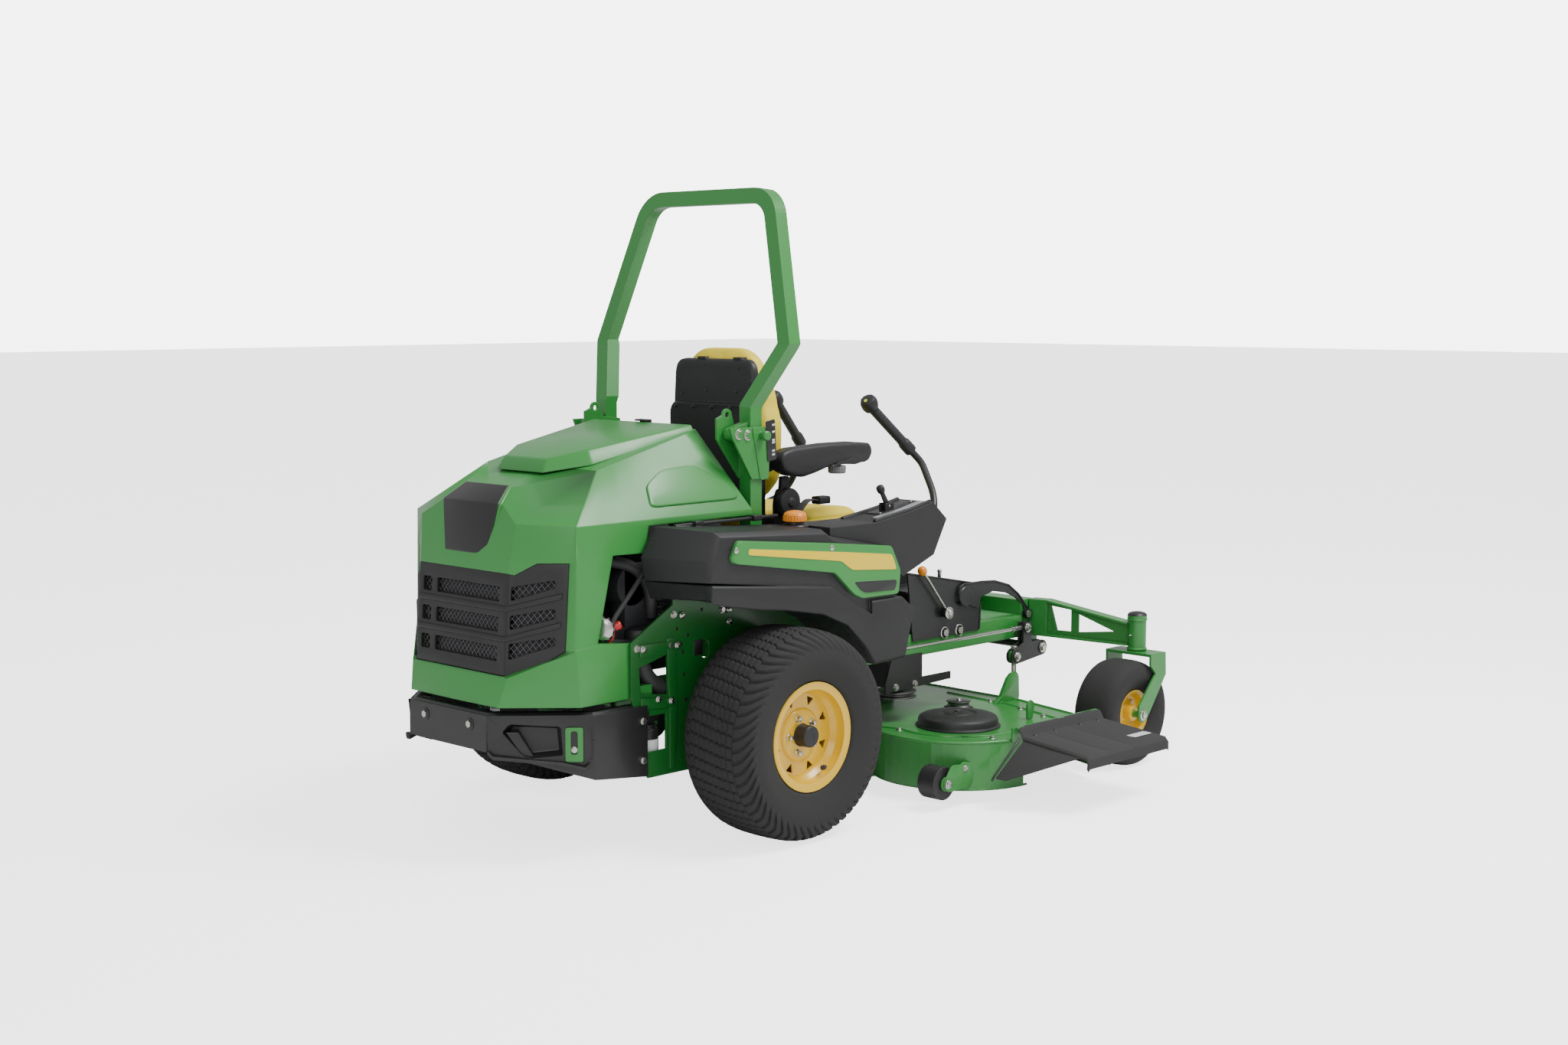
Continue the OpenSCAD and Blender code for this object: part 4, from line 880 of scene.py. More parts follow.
@dataclass
class Caster:
    """A front caster: smooth tyre and dished rim in its fork."""

    side: Side

    def __post_init__(self) -> None:
        """Takes the caster's place from its rim."""
        low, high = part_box(f"caster_rim_{self.side.word}")
        middle = ((low + high) / 2 - DATUM) / MM
        self.centre = Vector((middle.x, -abs(middle.y), middle.z))
        self.body = f"caster_{self.side.word}"

    def tyre(self) -> Piece:
        """Builds the smooth tyre with a fine mould line and rib rings.

        Returns:
            The tyre.
        """
        half = [(88, 56), (93, 62), (104, 70), (126, 80), (148, 83), (166, 79), (180, 66), (187, 46), (189.6, 22),
                (190, 0)]
        run = curve_through([(r, -y) for r, y in half] + [(r, y) for r, y in half[-2::-1]], 90)
        profile = [(r - 0.7 * (1 - step(abs(abs(y) - 60), 0.6, 2.2)) - 0.5 * (1 - step(abs(y), 0.5, 2)), y)
                   for r, y in run]
        shape = Shape().lathe(profile, self.centre, TO_LEFT, RUBBER, 128, caps=False)
        return shape.handed(self.side, Side.RIGHT).build(f"front_tyre_{self.side.word}", self.body, "tyre_rubber",
                                                         f"caster_tyre_{self.side.word}", smooth=40)

    def rim(self) -> Piece:
        """Builds the dished rim with its hub sleeve and four bolts.

        Returns:
            The rim.
        """
        profile = [(12.2, -60), (24, -60), (27, -57), (28, -30), (34, -24), (52, -18), (66, -22), (70, -30), (72, -50),
                   (78, -58), (84, -61.5), (86, -60), (85.5, -57), (80, -54), (75, -50), (74, -40), (74, 40), (75, 50),
                   (80, 54), (86, 58), (84, 62), (76, 58), (70, 48), (68, 26), (60, 20), (32, 26), (28, 58), (24, 60),
                   (12.2, 60)]
        shape = Shape().lathe(profile + [profile[0]], self.centre, TO_LEFT, YELLOW, 72, caps=False)
        for i in range(4):
            a = math.radians(45 + 90 * i)
            shape.bolt(self.centre + Vector((math.cos(a) * 52, -18, math.sin(a) * 52)), TO_RIGHT, 5.5)
        return shape.handed(self.side, Side.RIGHT).build(f"front_rim_{self.side.word}", self.body, "yellow_paint",
                                                         f"caster_rim_{self.side.word}", smooth=30)

    def make(self) -> list[Piece]:
        """Builds the tyre and the rim."""
        return [self.tyre(), self.rim()]


# ---------- hood, grille and bumper ----------


def rounded(outline: Sequence[P2], r: float, steps: int = 4) -> list[tuple[float, float]]:
    """Rounds the corners of a closed outline.

    Args:
        outline: The corners.
        r: Distance from a corner at which its bend starts.
        steps: Spans in each bend.

    Returns:
        The rounded outline.
    """
    out: list[tuple[float, float]] = []
    n = len(outline)
    for i in range(n):
        a, b, c = (Vector(outline[k % n]) for k in (i - 1, i, i + 1))
        da, dc = a - b, c - b
        reach = min(r, da.length * 0.45, dc.length * 0.45)
        s, e = b + da.normalized() * reach, b + dc.normalized() * reach
        for k in range(steps + 1):
            t = k / steps
            p = (1 - t) ** 2 * s + 2 * t * (1 - t) * b + t * t * e
            out.append((p.x, p.y))
    return out


def thickened(shape: Shape, name: str, body: str, slot: str, *nodes: str, thick: float, bevel: float,
              smooth: float = 35.0, inward: float = -1.0) -> Piece:
    """Builds an open skin and gives it thickness.

    Args:
        shape: The skin.
        name: The piece's name.
        body: The CAD body it rides on.
        slot: The record's material slot, which is passed on but not used.
        nodes: CAD nodes that it stands for.
        thick: The skin's thickness in millimetres.
        bevel: Width of the eased edges in millimetres.
        smooth: Faces that meet at less than this are shaded as one.
        inward: -1 grows the thickness against the normals.

    Returns:
        The finished object.
    """
    obj = shape.build(name, body, slot)
    skin = obj.modifiers.new("skin", "SOLIDIFY")
    skin.thickness, skin.offset, skin.use_even_offset = thick * MM, inward, True
    edge = obj.modifiers.new("eased", "BEVEL")
    edge.width, edge.segments, edge.limit_method = bevel * MM, 3, "ANGLE"
    edge.angle_limit = math.radians(6)
    bake_modifiers(obj)
    obj.data.shade_smooth()
    obj.data.set_sharp_from_angle(angle=math.radians(smooth))
    if nodes:
        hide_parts(*nodes)
    return obj


def rear_face(s: float, z: float, out: float = 0.0) -> tuple[float, float, float]:
    """A point on the folded, leaning rear face of the hood.

    Args:
        s: Distance along the face from the middle, left positive.
        z: Height.
        out: Distance off the face.

    Returns:
        The point in millimetres.
    """
    a = abs(s)
    if a <= 214:
        x, y = -800 - out, a
    else:
        x, y = -800 + (a - 214) * 0.569 - 0.823 * out, 214 + (a - 214) * 0.823 + 0.569 * out
    return (x + (z - 545) * 0.0717, math.copysign(y, s), z)


@dataclass
class Hood:
    """The tilting rear hood with its scoop, collar and blank badge."""

    half: float = 390.0
    skin: float = 6.0

    def slope(self, u: float, v: float, out: float = 0.0) -> P3:
        """A point on the left slope.

        Args:
            u: Share of the way from rear to front.
            v: Share of the way from its foot to its top.
            out: Distance off the slope.

        Returns:
            The point in millimetres.
        """
        foot = lerp((-666, self.half, 1004), (50, self.half, 1005), u)
        head = lerp((-483, 264, 1150), (-62, 253, 1255), u)
        p = foot.lerp(head, v)
        return (p.x, p.y + out * 0.75, p.z + out * 0.66)

    def half_faces(self) -> list[list[P3]]:
        """The facets of the left half, corner by corner.

        Returns:
            The facets in millimetres.
        """
        w = self.half
        ledge = [rear_face(214, 862, 5), rear_face(232, 858, 5), rear_face(299, 894, 5), rear_face(393, 896, 5)]
        low = [rear_face(214, 560, 5), rear_face(292, 572, 5), rear_face(397, 638, 5)]
        frame_r = rear_face(397, 896, 5)
        rim = {z: (-676 + (z - 545) * 0.022, w, z) for z in (640, 896, 1004)}
        b, k, t = (-763, 229, 1007), (-744, 148, 1056), (-683, 112, 1103)
        e, g, h = (-483, 264, 1150), rim[1004], (-62, 253, 1255)
        s0, s1, s2 = (-812, 0, 553), (-806, 232, 556), (-674, w + 1, 640)
        q0, q1, q2 = (-830, 0, 469), (-826, 215, 469), (-655, w, 470)
        return [
            [rear_face(0, 862, 5), ledge[0], b, k, (k[0], 0, k[2])],
            [*ledge, rim[896], g, b],
            [frame_r, rim[896], rim[640], low[2]],
            [k, b, t], [(k[0], 0, k[2]), k, t, (t[0], 0, t[2])],
            [b, e, t], [b, g, e], [t, e, (e[0], 0, 1152), (t[0], 0, t[2])],
            *[[self.slope(k / 8, 0), self.slope((k + 1) / 8, 0), self.slope((k + 1) / 8, 1), self.slope(k / 8, 1)]
              for k in range(8)],
            [e, h, (h[0], 0, 1262), (e[0], 0, 1152)],
            [*[self.slope(k / 8, 0) for k in range(9)], (50, w, 986), (-385, w, 986), (-402, w, 905), (-527, w, 908),
             (-589, w, 650), rim[640], rim[896]],
            [rear_face(0, 560, 5), low[0], s1, s0], [low[0], low[1], low[2], rim[640], s2, s1],
            [s0, s1, q1, q0], [s1, s2, q2, q1],
            [s2, (-589, w, 650), (-470, w, 640), (-440, w, 640), (-440, w, 470), q2], [rim[640], (-589, w, 650), s2],
        ]

    def shell(self) -> Piece:
        """Builds the painted skin.

        Returns:
            The piece.
        """
        shape = Shape()
        for face in self.half_faces():
            shape.add(face, [range(len(face))], PANEL_GREEN)
        shape.both()
        return thickened(shape, "hood_skin", "hood", "green_paint", "hood_shell", thick=self.skin, bevel=5)

    def scoop(self) -> Piece:
        """Builds the raised scoop on top.

        Returns:
            The piece.
        """
        base = [(-566, 112, 1138), (-446, 204, 1160), (-62, 250, 1244)]
        top = [(-541, 101, 1181), (-436, 172, 1207), (-62, 236, 1270)]
        shape = Shape()
        shape.loft([[b, t, (t[0], -t[1], t[2]), (b[0], -b[1], b[2])] for b, t in zip(base, top)], PANEL_GREEN)
        return shape.build("hood_scoop", "hood", "green_paint", bevel=6, angle=8)

    def collar(self) -> list[Piece]:
        """Builds the raised collar and the blank badge set in it.

        Returns:
            The pieces.
        """
        out = []
        for name, grow, lift, finish, slot in (("hood_collar", 9.0, 4.0, PANEL_GREEN, "green_paint"),
                                               ("blank_badge", 0.0, 9.0, COAT_BLACK, "black_plastic")):
            front = [(-766 - lift, 101 + grow, 908 - grow), (-745 - lift, 134 + grow, 1060),
                     (-685 - lift * 0.5, 102 + grow, 1101 + lift + grow * 0.3)]
            back = [(p[0] + 10, p[1], p[2] - 4) for p in front]
            shape = Shape()
            for row in (front, back):
                for a, b in zip(row, row[1:]):
                    shape.add([a, b, (b[0], -b[1], b[2]), (a[0], -a[1], a[2])], [(0, 1, 2, 3)], finish)
            rim = front + [(p[0], -p[1], p[2]) for p in reversed(front)]
            inner = back + [(p[0], -p[1], p[2]) for p in reversed(back)]
            shape.loft([rim, inner], finish, caps=False)
            out.append(shape.build(name, "hood", slot, bevel=4, angle=15))
        return out

    def side_panels(self) -> Piece:
        """Builds the low raised panel on each slope.

        Returns:
            The piece.
        """
        outline = rounded([(0.42, 0.17), (0.42, 0.50), (0.55, 0.66), (0.80, 0.62), (0.955, 0.34), (0.965, 0.14)], 0.06)
        outer = [(0.69 + (u - 0.69) * 1.02, 0.4 + (v - 0.4) * 1.03) for u, v in outline]
        shape = Shape()
        shape.loft([[self.slope(u, v, -3) for u, v in outer], [self.slope(u, v, 1.5) for u, v in outer],
                    [self.slope(u, v, 6) for u, v in outline]], PANEL_GREEN)
        return shape.both().build("hood_side_relief", "hood", "green_paint", bevel=1.5, angle=15)

    def make(self) -> list[Piece]:
        """Builds every piece of the hood."""
        return [self.shell(), self.scoop(), *self.collar(), self.side_panels()]


@dataclass
class Grille:
    """The black grille frame wrapped round the hood's rear corners, with its mesh."""

    thick: float = 13.0
    rows: tuple[float, ...] = (777.0, 688.0, 601.0)
    high: float = 44.0
    pitch: P2 = (19.0, 11.0)

    def frame_piece(self) -> Piece:
        """Builds the pierced frame.

        Returns:
            The piece.
        """
        shape = Shape()
        middle = [rounded([(a, z), (b, z), (b, z + self.high), (a, z + self.high)], 7)
                  for z in self.rows for a, b in ((-180, 128), (152, 198))]
        plate(shape, [(-214, 562), (214, 562), (214, 862), (-214, 862)], middle, self.thick,
              lambda u, v, w: rear_face(max(-213.99, min(213.99, u)), v, w - 9), PLASTIC)
        outline = [(214, 562), (292, 574), (396, 640), (396, 895), (299, 893), (232, 857), (214, 862)]
        taper = [[(224, 782), (224, 823), (352, 846), (358, 838), (356, 823)],
                 [(224, 697), (224, 738), (354, 763), (361, 756), (360, 733)],
                 [(224, 609), (224, 656), (358, 680), (365, 672), (364, 655)]]
        for sign in (1, -1):
            plate(shape, outline, [rounded(t, 6) for t in taper], self.thick,
                  lambda u, v, w: rear_face(sign * max(214.01, u), v, w - 9), PLASTIC)
        return shape.build("grille_frame", "hood", "black_plastic", "hood_grille", bevel=3, angle=40)

    def ribs(self) -> Piece:
        """Builds the proud ribs between the rows that fold round the corners.

        Returns:
            The piece.
        """
        shape = Shape()
        for z, tip in ((754.0, 800.0), (665.0, 716.0)):
            path = [(-380, tip), (-214, z + 4), (214, z + 4), (380, tip)]
            rings = []
            for s, h in path:
                rings.append([rear_face(s, h - 11, 3), rear_face(s, h - 6, 9), rear_face(s, h + 6, 9),
                              rear_face(s, h + 11, 3)])
            shape.loft(rings, PLASTIC)
        return shape.build("grille_ribs", "hood", "black_plastic", bevel=3, angle=20)

    def mesh_piece(self) -> Piece:
        """Builds the diamond mesh behind the windows.

        Returns:
            The piece.
        """
        shape = Shape()
        wide, tall = self.pitch
        section = [Vector(o) for o in ((-1, 0, 1), (-1, 0, -1), (1, 0, -1), (1, 0, 1))]

        def inside(s: float, z: float) -> bool:
            """Whether a point lies behind the frame.

            Args:
                s: Distance along the face from the middle.
                z: Height.

            Returns:
                True behind the frame.
            """
            a = abs(s)
            low = 568 if a < 214 else 568 + max(0.0, a - 292) * 0.66
            high = 856 if a < 232 else min(888, 856 + (a - 232) * 0.5)
            return a < 388 and low < z < high

        for lean in (1, -1):
            for n in range(-40, 62):
                run: list[P3] = []
                for k in range(31):
                    z = 565 + k * tall
                    s = -390 + n * wide + (k if lean > 0 else 30 - k) * wide / 2
                    if inside(s, z):
                        run.append(rear_face(s, z, -7.5 + 0.6 * lean))
                        if k < 30:
                            continue
                    if len(run) > 1:
                        shape.loft([[Vector(p) + o for o in section] for p in run], STEEL)
                    run = []
        return shape.build("grille_mesh", "hood", "black_plastic", weld=False, smooth=20)

    def screen(self) -> Piece:
        """Builds the dark fan shroud behind the mesh.

        Returns:
            The piece.
        """
        shape = Shape()
        edges = [(-380, 880), (-214, 850), (214, 850), (380, 880)], [(-380, 648), (-214, 570), (214, 570), (380, 648)]
        shape.loft([[rear_face(s, z, -26) for s, z in edge] for edge in edges], IRON, closed=False, caps=False)
        for z in range(580, 880, 14):
            shape.loft([[rear_face(s, z + dz, o) for dz, o in ((0, -25), (3, -21), (6, -25))] for s in (-214, 214)],
                       IRON)
        shape.lathe([(190, 0), (190, 6), (176, 8), (176, 2)], (-772, 0, 716), (-1, 0, 0.07), IRON, 48)
        return shape.build("fan_shroud", "hood", "engine_iron")

    def make(self) -> list[Piece]:
        """Builds every piece of the grille."""
        return [self.frame_piece(), self.ribs(), self.mesh_piece(), self.screen()]


@dataclass
class Bumper:
    """The folded rear bumper with its pockets, handles and tie-down tabs."""

    rear: float = -850.0
    top: float = 446.0
    thick: float = 8.0
    pocket: tuple[P2, ...] = ((44, 396), (66, 420), (216, 412), (222, 326), (132, 318), (104, 326))

    def slanted(self, u: float, z: float, out: float = 0.0) -> P3:
        """A point on the left slanted panel."""
        return (self.rear + 0.7256 * u - 0.6878 * out, 192 + 0.6878 * u + 0.7256 * out, z)

    def panels(self) -> Piece:
        """Builds the five panels with the pockets cut in.

        Returns:
            The piece.
        """
        t, top = self.thick, self.top
        shape = Shape()
        plate(shape, [(-192, 336), (192, 336), (192, top), (-192, top)], [], t, lambda u, v,
              w: (self.rear + t - w, u, v), COAT_BLACK)
        side = [(-620, 251), (-412, 228), (-412, top), (-620, top)]
        for s in (1, -1):
            plate(shape, [(0, 336), (317, 251), (317, top), (0, top)], [rounded(self.pocket, 8)], t,
                  lambda u, v, w: (self.slanted(u, v, w - t)[0], s * self.slanted(u, v, w - t)[1], v), COAT_BLACK)
            plate(shape, side, [], t, lambda u, v, w: (u, s * (402 + w), v), COAT_BLACK)
        return shape.build("bumper_panels", "chassis", "black_steel", "rear_bumper", bevel=2.5, angle=20)

    def pockets(self) -> Piece:
        """Builds each pocket's floor, walls and rib, and the handle lip.

        Returns:
            The piece.
        """
        deep = [(60, 392), (76, 410), (204, 402), (210, 336), (136, 328), (112, 336)]
        shape = Shape()
        shape.loft([[self.slanted(u, z, -2) for u, z in self.pocket], [self.slanted(u, z, -34) for u, z in deep]],
                   COAT_BLACK, caps=False)
        shape.add([self.slanted(u, z, -34) for u, z in deep], [range(6)], COAT_BLACK)
        rib = [(54, 396), (92, 396), (138, 320), (104, 320)]
        shape.loft([[self.slanted(u, z, -30) for u, z in rib], [self.slanted(u, z, -4) for u, z in rib]], COAT_BLACK)
        lip = [(2, 338), (17, 322), (219, 303), (287, 287), (302, 300)]
        rings = [[self.slanted(u, z + a, b) for a, b in ((7, 1), (5, 15), (-5, 15), (-7, 1))] for u, z in lip]
        shape.loft(rings, COAT_BLACK)
        return shape.both().build("bumper_pockets", "chassis", "black_steel", bevel=3, angle=20)

    def top_lip(self) -> Piece:
        """Builds the folded top lip and its chamfer.

        Returns:
            The piece.
        """
        plan = [(-415, 402), (-619, 402), (-846, 188), (-846, -188), (-619, -402), (-415, -402)]
        inner = [(-415, 372), (-600, 372), (-806, 172), (-806, -172), (-600, -372), (-415, -372)]
        shape = Shape()
        rings = []
        for (x, y), (ix, iy) in zip(plan, inner):
            f = lerp((x, y, 0), (ix, iy, 0), 0.3)
            rings.append([(x, y, 444), (f.x, f.y, 452), (ix, iy, 452), (ix, iy, 444)])
        shape.loft(rings, COAT_BLACK)
        return shape.build("bumper_top_lip", "chassis", "black_steel", bevel=2, angle=15)

    def tabs(self) -> Piece:
        """Builds the green slotted tie-down tabs.

        Returns:
            The piece.
        """
        shape = Shape()
        slot = rounded([(246, 330), (266, 330), (266, 400), (246, 400)], 9)
        plate(shape, rounded([(230, 308), (282, 308), (282, 410), (230, 410)], 7), [slot], 6,
              lambda u, v, w: self.slanted(u, v, w + 1), GREEN)
        shape.add([self.slanted(u, z, 1) for u, z in slot], [range(len(slot))], COAT_BLACK)
        shape.bolt(self.slanted(256, 343, 1), self.direction(), 8)
        return shape.both().build("tie_down_tabs", "chassis", "green_paint", bevel=1.5, angle=30)

    @staticmethod
    def direction() -> P3:
        """The way the left slanted panel faces."""
        return (-0.6878, 0.7256, 0.0)

    def trim(self) -> Piece:
        """Builds the seams, dimples and dark washers.

        Returns:
            The piece.
        """
        shape = Shape()
        shape.tube(smooth_path([self.slanted(300, 406, 1), self.slanted(308, 408, 1), self.slanted(310, 318, 1),
                                self.slanted(302, 314, 1)], 6), 1.8, COAT_BLACK, 8)
        shape.lathe([(4, 0), (4, 1.2), (2, 1.2), (2, 0.2)], self.slanted(312, 372), self.direction(), COAT_BLACK, 16)
        shape.both()
        for y in (-110, 110):
            shape.lathe([(19, 0), (19, 1.5), (15, 2.5), (12, 2.5)], (self.rear, y, 411), BACK, COAT_BLACK, 28)
        return shape.build("bumper_trim", "chassis", "black_steel", bevel=0.5)

    def make(self) -> list[Piece]:
        """Builds every piece of the bumper."""
        return [self.panels(), self.pockets(), self.top_lip(), self.tabs(), self.trim()]


# ---------- seat ----------


def grid_of(table: Sequence[P2], t: float) -> float:
    """Reads a value off a table of places and values with smooth steps.

    Args:
        table: Places and values in order.
        t: The place to read.

    Returns:
        The value there.
    """
    for (a, va), (b, vb) in zip(table, table[1:]):
        if t <= b:
            return va + (vb - va) * step(t, a, b)
    return table[-1][1]


@dataclass
class Pad:
    """A stuffed and sewn pad."""

    name: str
    node: str
    body: str
    place: Callable[[Vector], Vector]
    seams: Callable[[Vector], float]
    swell: float = 9.0
    round: float = 5.0
    cuts: int = 22
    voxel: float = 7.0
    pressure: float = 4.0
    frames: int = 15
    fill: float = 0.85

    def blank(self) -> Piece:
        """Builds the closed form before it is stuffed.

        Returns:
            The object.
        """
        bm = bmesh.new()
        bmesh.ops.create_cube(bm, size=2.0)
        bmesh.ops.subdivide_edges(bm, edges=bm.edges, cuts=self.cuts, use_grid_fill=True)
        for v in bm.verts:
            n = self.round
            size = (abs(v.co.x) ** n + abs(v.co.y) ** n + abs(v.co.z) ** n) ** (1 / n)
            v.co = at(*self.place(v.co / size))
        mesh = bpy.data.meshes.new(self.name)
        bm.to_mesh(mesh)
        bm.free()
        mesh.materials.append(VINYL.material())
        obj = bpy.data.objects.new(self.name, mesh)
        bpy.context.scene.collection.objects.link(obj)
        return obj

    def stuff(self, obj: Piece) -> None:
        """Swells the cover with air pressure as cloth, no further than the cap.

        Args:
            obj: The blank.
        """
        remesh = obj.modifiers.new("even", "REMESH")
        remesh.mode, remesh.voxel_size = "VOXEL", self.voxel * MM
        bake_modifiers(obj)
        start = [v.co.copy() for v in obj.data.vertices]
        cloth = obj.modifiers.new("cover", "CLOTH")
        cloth.settings.use_pressure = True
        cloth.settings.uniform_pressure_force = self.pressure
        cloth.settings.effector_weights.gravity = 0.0
        scene = bpy.context.scene
        for f in range(1, self.frames + 1):
            scene.frame_set(f)
        moved = obj.evaluated_get(bpy.context.evaluated_depsgraph_get()).data
        ends = [v.co.copy() for v in moved.vertices]
        obj.modifiers.clear()
        scene.frame_set(1)
        cap = self.swell * MM
        for v, a, b in zip(obj.data.vertices, start, ends):
            move = b - a
            v.co = a + move * min(1.0, cap / move.length) if move.length > 1e-9 else a

    def make(self) -> Piece:
        """Builds, stuffs and sews the pad.

        Returns:
            The piece.
        """
        obj = self.blank()
        self.stuff(obj)
        relax = obj.modifiers.new("relax", "SMOOTH")
        relax.factor, relax.iterations = 0.6, 6
        if len(obj.data.vertices) < 9000:
            sub = obj.modifiers.new("divided", "SUBSURF")
            sub.levels = sub.render_levels = 1
        bake_modifiers(obj)
        normals = [n.vector.copy() for n in obj.data.vertex_normals]
        for v, n in zip(obj.data.vertices, normals):
            v.co -= n * self.seams((v.co - DATUM) / MM) * MM
        obj.data.shade_smooth()
        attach(obj, self.body)
        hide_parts(self.node)
        return obj


@dataclass
class Seat:
    """Seat with cushions, moulded back shell, armrests, knob and belt."""

    back: float = 272.0

    def bottom(self) -> Piece:
        """Builds the seat cushion.

        Returns:
            The piece.
        """
        def place(q: Vector) -> Vector:
            """Puts the blank in the seat's box, with raised sides and a rolled front.

            Args:
                q: A point of the blank, -1 to 1 each way.

            Returns:
                Its place in millimetres.
            """
            x = 601 + q.x * 188
            y = q.y * (222 - 10 * max(0.0, -q.x) ** 2)
            top = 866 + 84 + 7 * abs(q.y) ** 3 - 12 * max(0.0, q.x) ** 3 - 6 * (1 - q.y * q.y)
            z = 880 if q.z < -0.75 else 880 + (top - 880) * (q.z + 0.75) / 1.75
            return Vector((x, y, z))

        def seams(p: Vector) -> float:
            """Depth of the sewn channels.

            Args:
                p: A point of the cover in millimetres.

            Returns:
                The depth in millimetres.
            """
            up = 1.0 if p.z > 925 else 0.0
            lines = [abs(abs(p.y) - 150) + 500 * (p.x > 770), abs(p.x - 520) + 500 * (abs(p.y) > 150),
                     abs(p.x - 640) + 500 * (abs(p.y) > 150)]
            rim = math.exp(-((p.z - 925) / 3.0) ** 2) * 2.0
            return rim + up * sum(4.5 * math.exp(-(d / 5.0) ** 2) for d in lines)

        return Pad("seat_cushion_padded", "seat_cushion", "seat", place, seams).make()

    def rest(self) -> Piece:
        """Builds the back cushion.

        Returns:
            The piece.
        """
        wide = [(-1, 182), (-0.6, 214), (0.0, 226), (0.35, 205), (0.8, 176), (1, 160)]
        deep = [(-1, 88), (-0.5, 104), (0.1, 98), (1, 66)]

        def place(q: Vector) -> Vector:
            """Puts the blank on the back shell, wider over the hips and thinner at the top.

            Args:
                q: A point of the blank, -1 to 1 each way.

            Returns:
                Its place in millimetres.
            """
            z = 1242 + q.z * 268
            y = q.y * grid_of(wide, q.z)
            d = grid_of(deep, q.z)
            x = self.back + 8 + (q.x + 1) / 2 * (d + 9 * abs(q.y) ** 3)
            return Vector((x, y, z))

        def seams(p: Vector) -> float:
            """Depth of the sewn channels.

            Args:
                p: A point of the cover in millimetres.

            Returns:
                The depth in millimetres.
            """
            front = 1.0 if p.x > self.back + 62 else 0.0
            lines = [abs(abs(p.y) - 140 + (p.z - 1240) * 0.06) + 500 * (p.z > 1440),
                     abs(p.z - 1130) + 500 * (abs(p.y) > 140),
                     abs(p.z - 1260) + 500 * (abs(p.y) > 140), abs(p.z - 1385) + 500 * (abs(p.y) > 130)]
            rim = math.exp(-((p.x - self.back - 40) / 3.0) ** 2) * 2.0
            return rim + front * sum(4.5 * math.exp(-(d / 5.0) ** 2) for d in lines)

        return Pad("back_cushion_padded", "back_cushion", "seat_back", place, seams).make()

    def shell(self) -> Piece:
        """Builds the moulded back shell with its ledge, rim, screws and holes.

        Returns:
            The piece.
        """
        def ring(x: float, inset: float) -> list[P3]:
            """One outline of the shell at a depth.

            Args:
                x: The depth.
                inset: How far it is drawn in.

            Returns:
                The ring.
            """
            outline = [(-196, 930), (196, 930), (204, 1200), (188, 1466), (-188, 1466), (-204, 1200)]
            pts = rounded([(math.copysign(abs(y) - inset, y), z + inset if z < 1000 else z - inset if z > 1400 else z)
                           for y, z in outline], 46, 7)
            return [(x, y, z) for y, z in pts]

        shape = Shape()
        shape.loft([ring(278, 0), ring(262, 2), ring(256, 7), ring(252, 16), ring(254, 26), ring(254, 40)], PLASTIC)
        lower = [(-196, 934), (196, 934), (200, 1300), (180, 1322), (-180, 1322), (-200, 1300)]
        shape.loft([[(x, y * k, 1126 + (z - 1126) * k) for y, z in rounded(lower, 14)] for x,
                    k in ((256, 1.0), (244, 0.99), (238, 0.965), (240, 0.93))], PLASTIC)
        for y, z in ((-120, 1440), (40, 1448), (-175, 1395), (-172, 1350), (-110, 1362), (30, 1364), (172, 1395),
                     (150, 1350)):
            shape.lathe([(7, 0), (7, 2), (4.5, 2), (4.5, 0.4)], (254, y, z), BACK, COAT_BLACK, 18)
        for y in (-180, -95, -10, 80, 165):
            shape.bolt((240, y, 1305), BACK, 5, COAT_BLACK)
        for y in (-110, 60):
            shape.box((258, 288), (y - 18, y + 18), (1464, 1472), PLASTIC)
        return shape.build("back_shell_moulded", "seat_back", "black_plastic", "back_shell", bevel=1.2, angle=40)

    def hinges(self) -> Piece:
        """Builds the side brackets that carry the back and the arms.

        Returns:
            The piece.
        """
        shape = Shape()
        shape.side([(256, 890), (337, 885), (337, 930), (276, 962), (276, 1160), (256, 1160)], 214, 225, COAT_BLACK)
        shape.side([(256, 1096), (302, 1108), (302, 1150), (256, 1164)], 226, 247, COAT_BLACK)
        shape.rod((285, 246, 1130), (285, 290, 1130), 10, PLATED)
        shape.rod((315, 212, 905), (315, 238, 905), 9, PLATED)
        shape.bolt((300, 247, 1128), TO_LEFT, 7)
        return shape.both().build("back_brackets", "seat_back", "black_plastic", bevel=2, angle=30)

    def arm(self, side: Side) -> Piece:
        """Builds one moulded armrest.

        Args:
            side: Which arm.

        Returns:
            The piece.
        """
        outline = [(246, 1146), (256, 1168), (300, 1180), (472, 1188), (600, 1187), (678, 1180), (688, 1150),
                   (672, 1122),
                   (650, 1116), (604, 1120), (560, 1126), (480, 1112), (410, 1094), (350, 1083), (300, 1090), (260,
                                                                                                               1108)]
        shape = Shape()
        outline = rounded(outline, 14, 3)
        cx, cz = 460, 1145
        rings = [[(cx + (x - cx) * kx, y, cz + (z - cz) * kz) for x, z in outline]
                 for y, kx, kz in ((268, 0.955, 0.72), (271, 0.985, 0.9), (277, 1, 1), (321, 1, 1),
                                   (327, 0.985, 0.9), (330, 0.955, 0.72))]
        shape.loft(rings, PLASTIC)
        scallop = [(470, 1106), (520, 1124), (590, 1132), (628, 1128), (640, 1120), (600, 1112), (540, 1116)]
        shape.loft([[(x, 329, z) for x, z in rounded(scallop, 8)],
                    [(x, 331.5, z + 1) for x, z in rounded(scallop, 12)]], COAT_BLACK)
        return shape.handed(side).build(f"armrest_{side.word}_moulded", f"arm_{side.word}", "black_plastic",
                                        f"armrest_{side.word}", smooth=50)

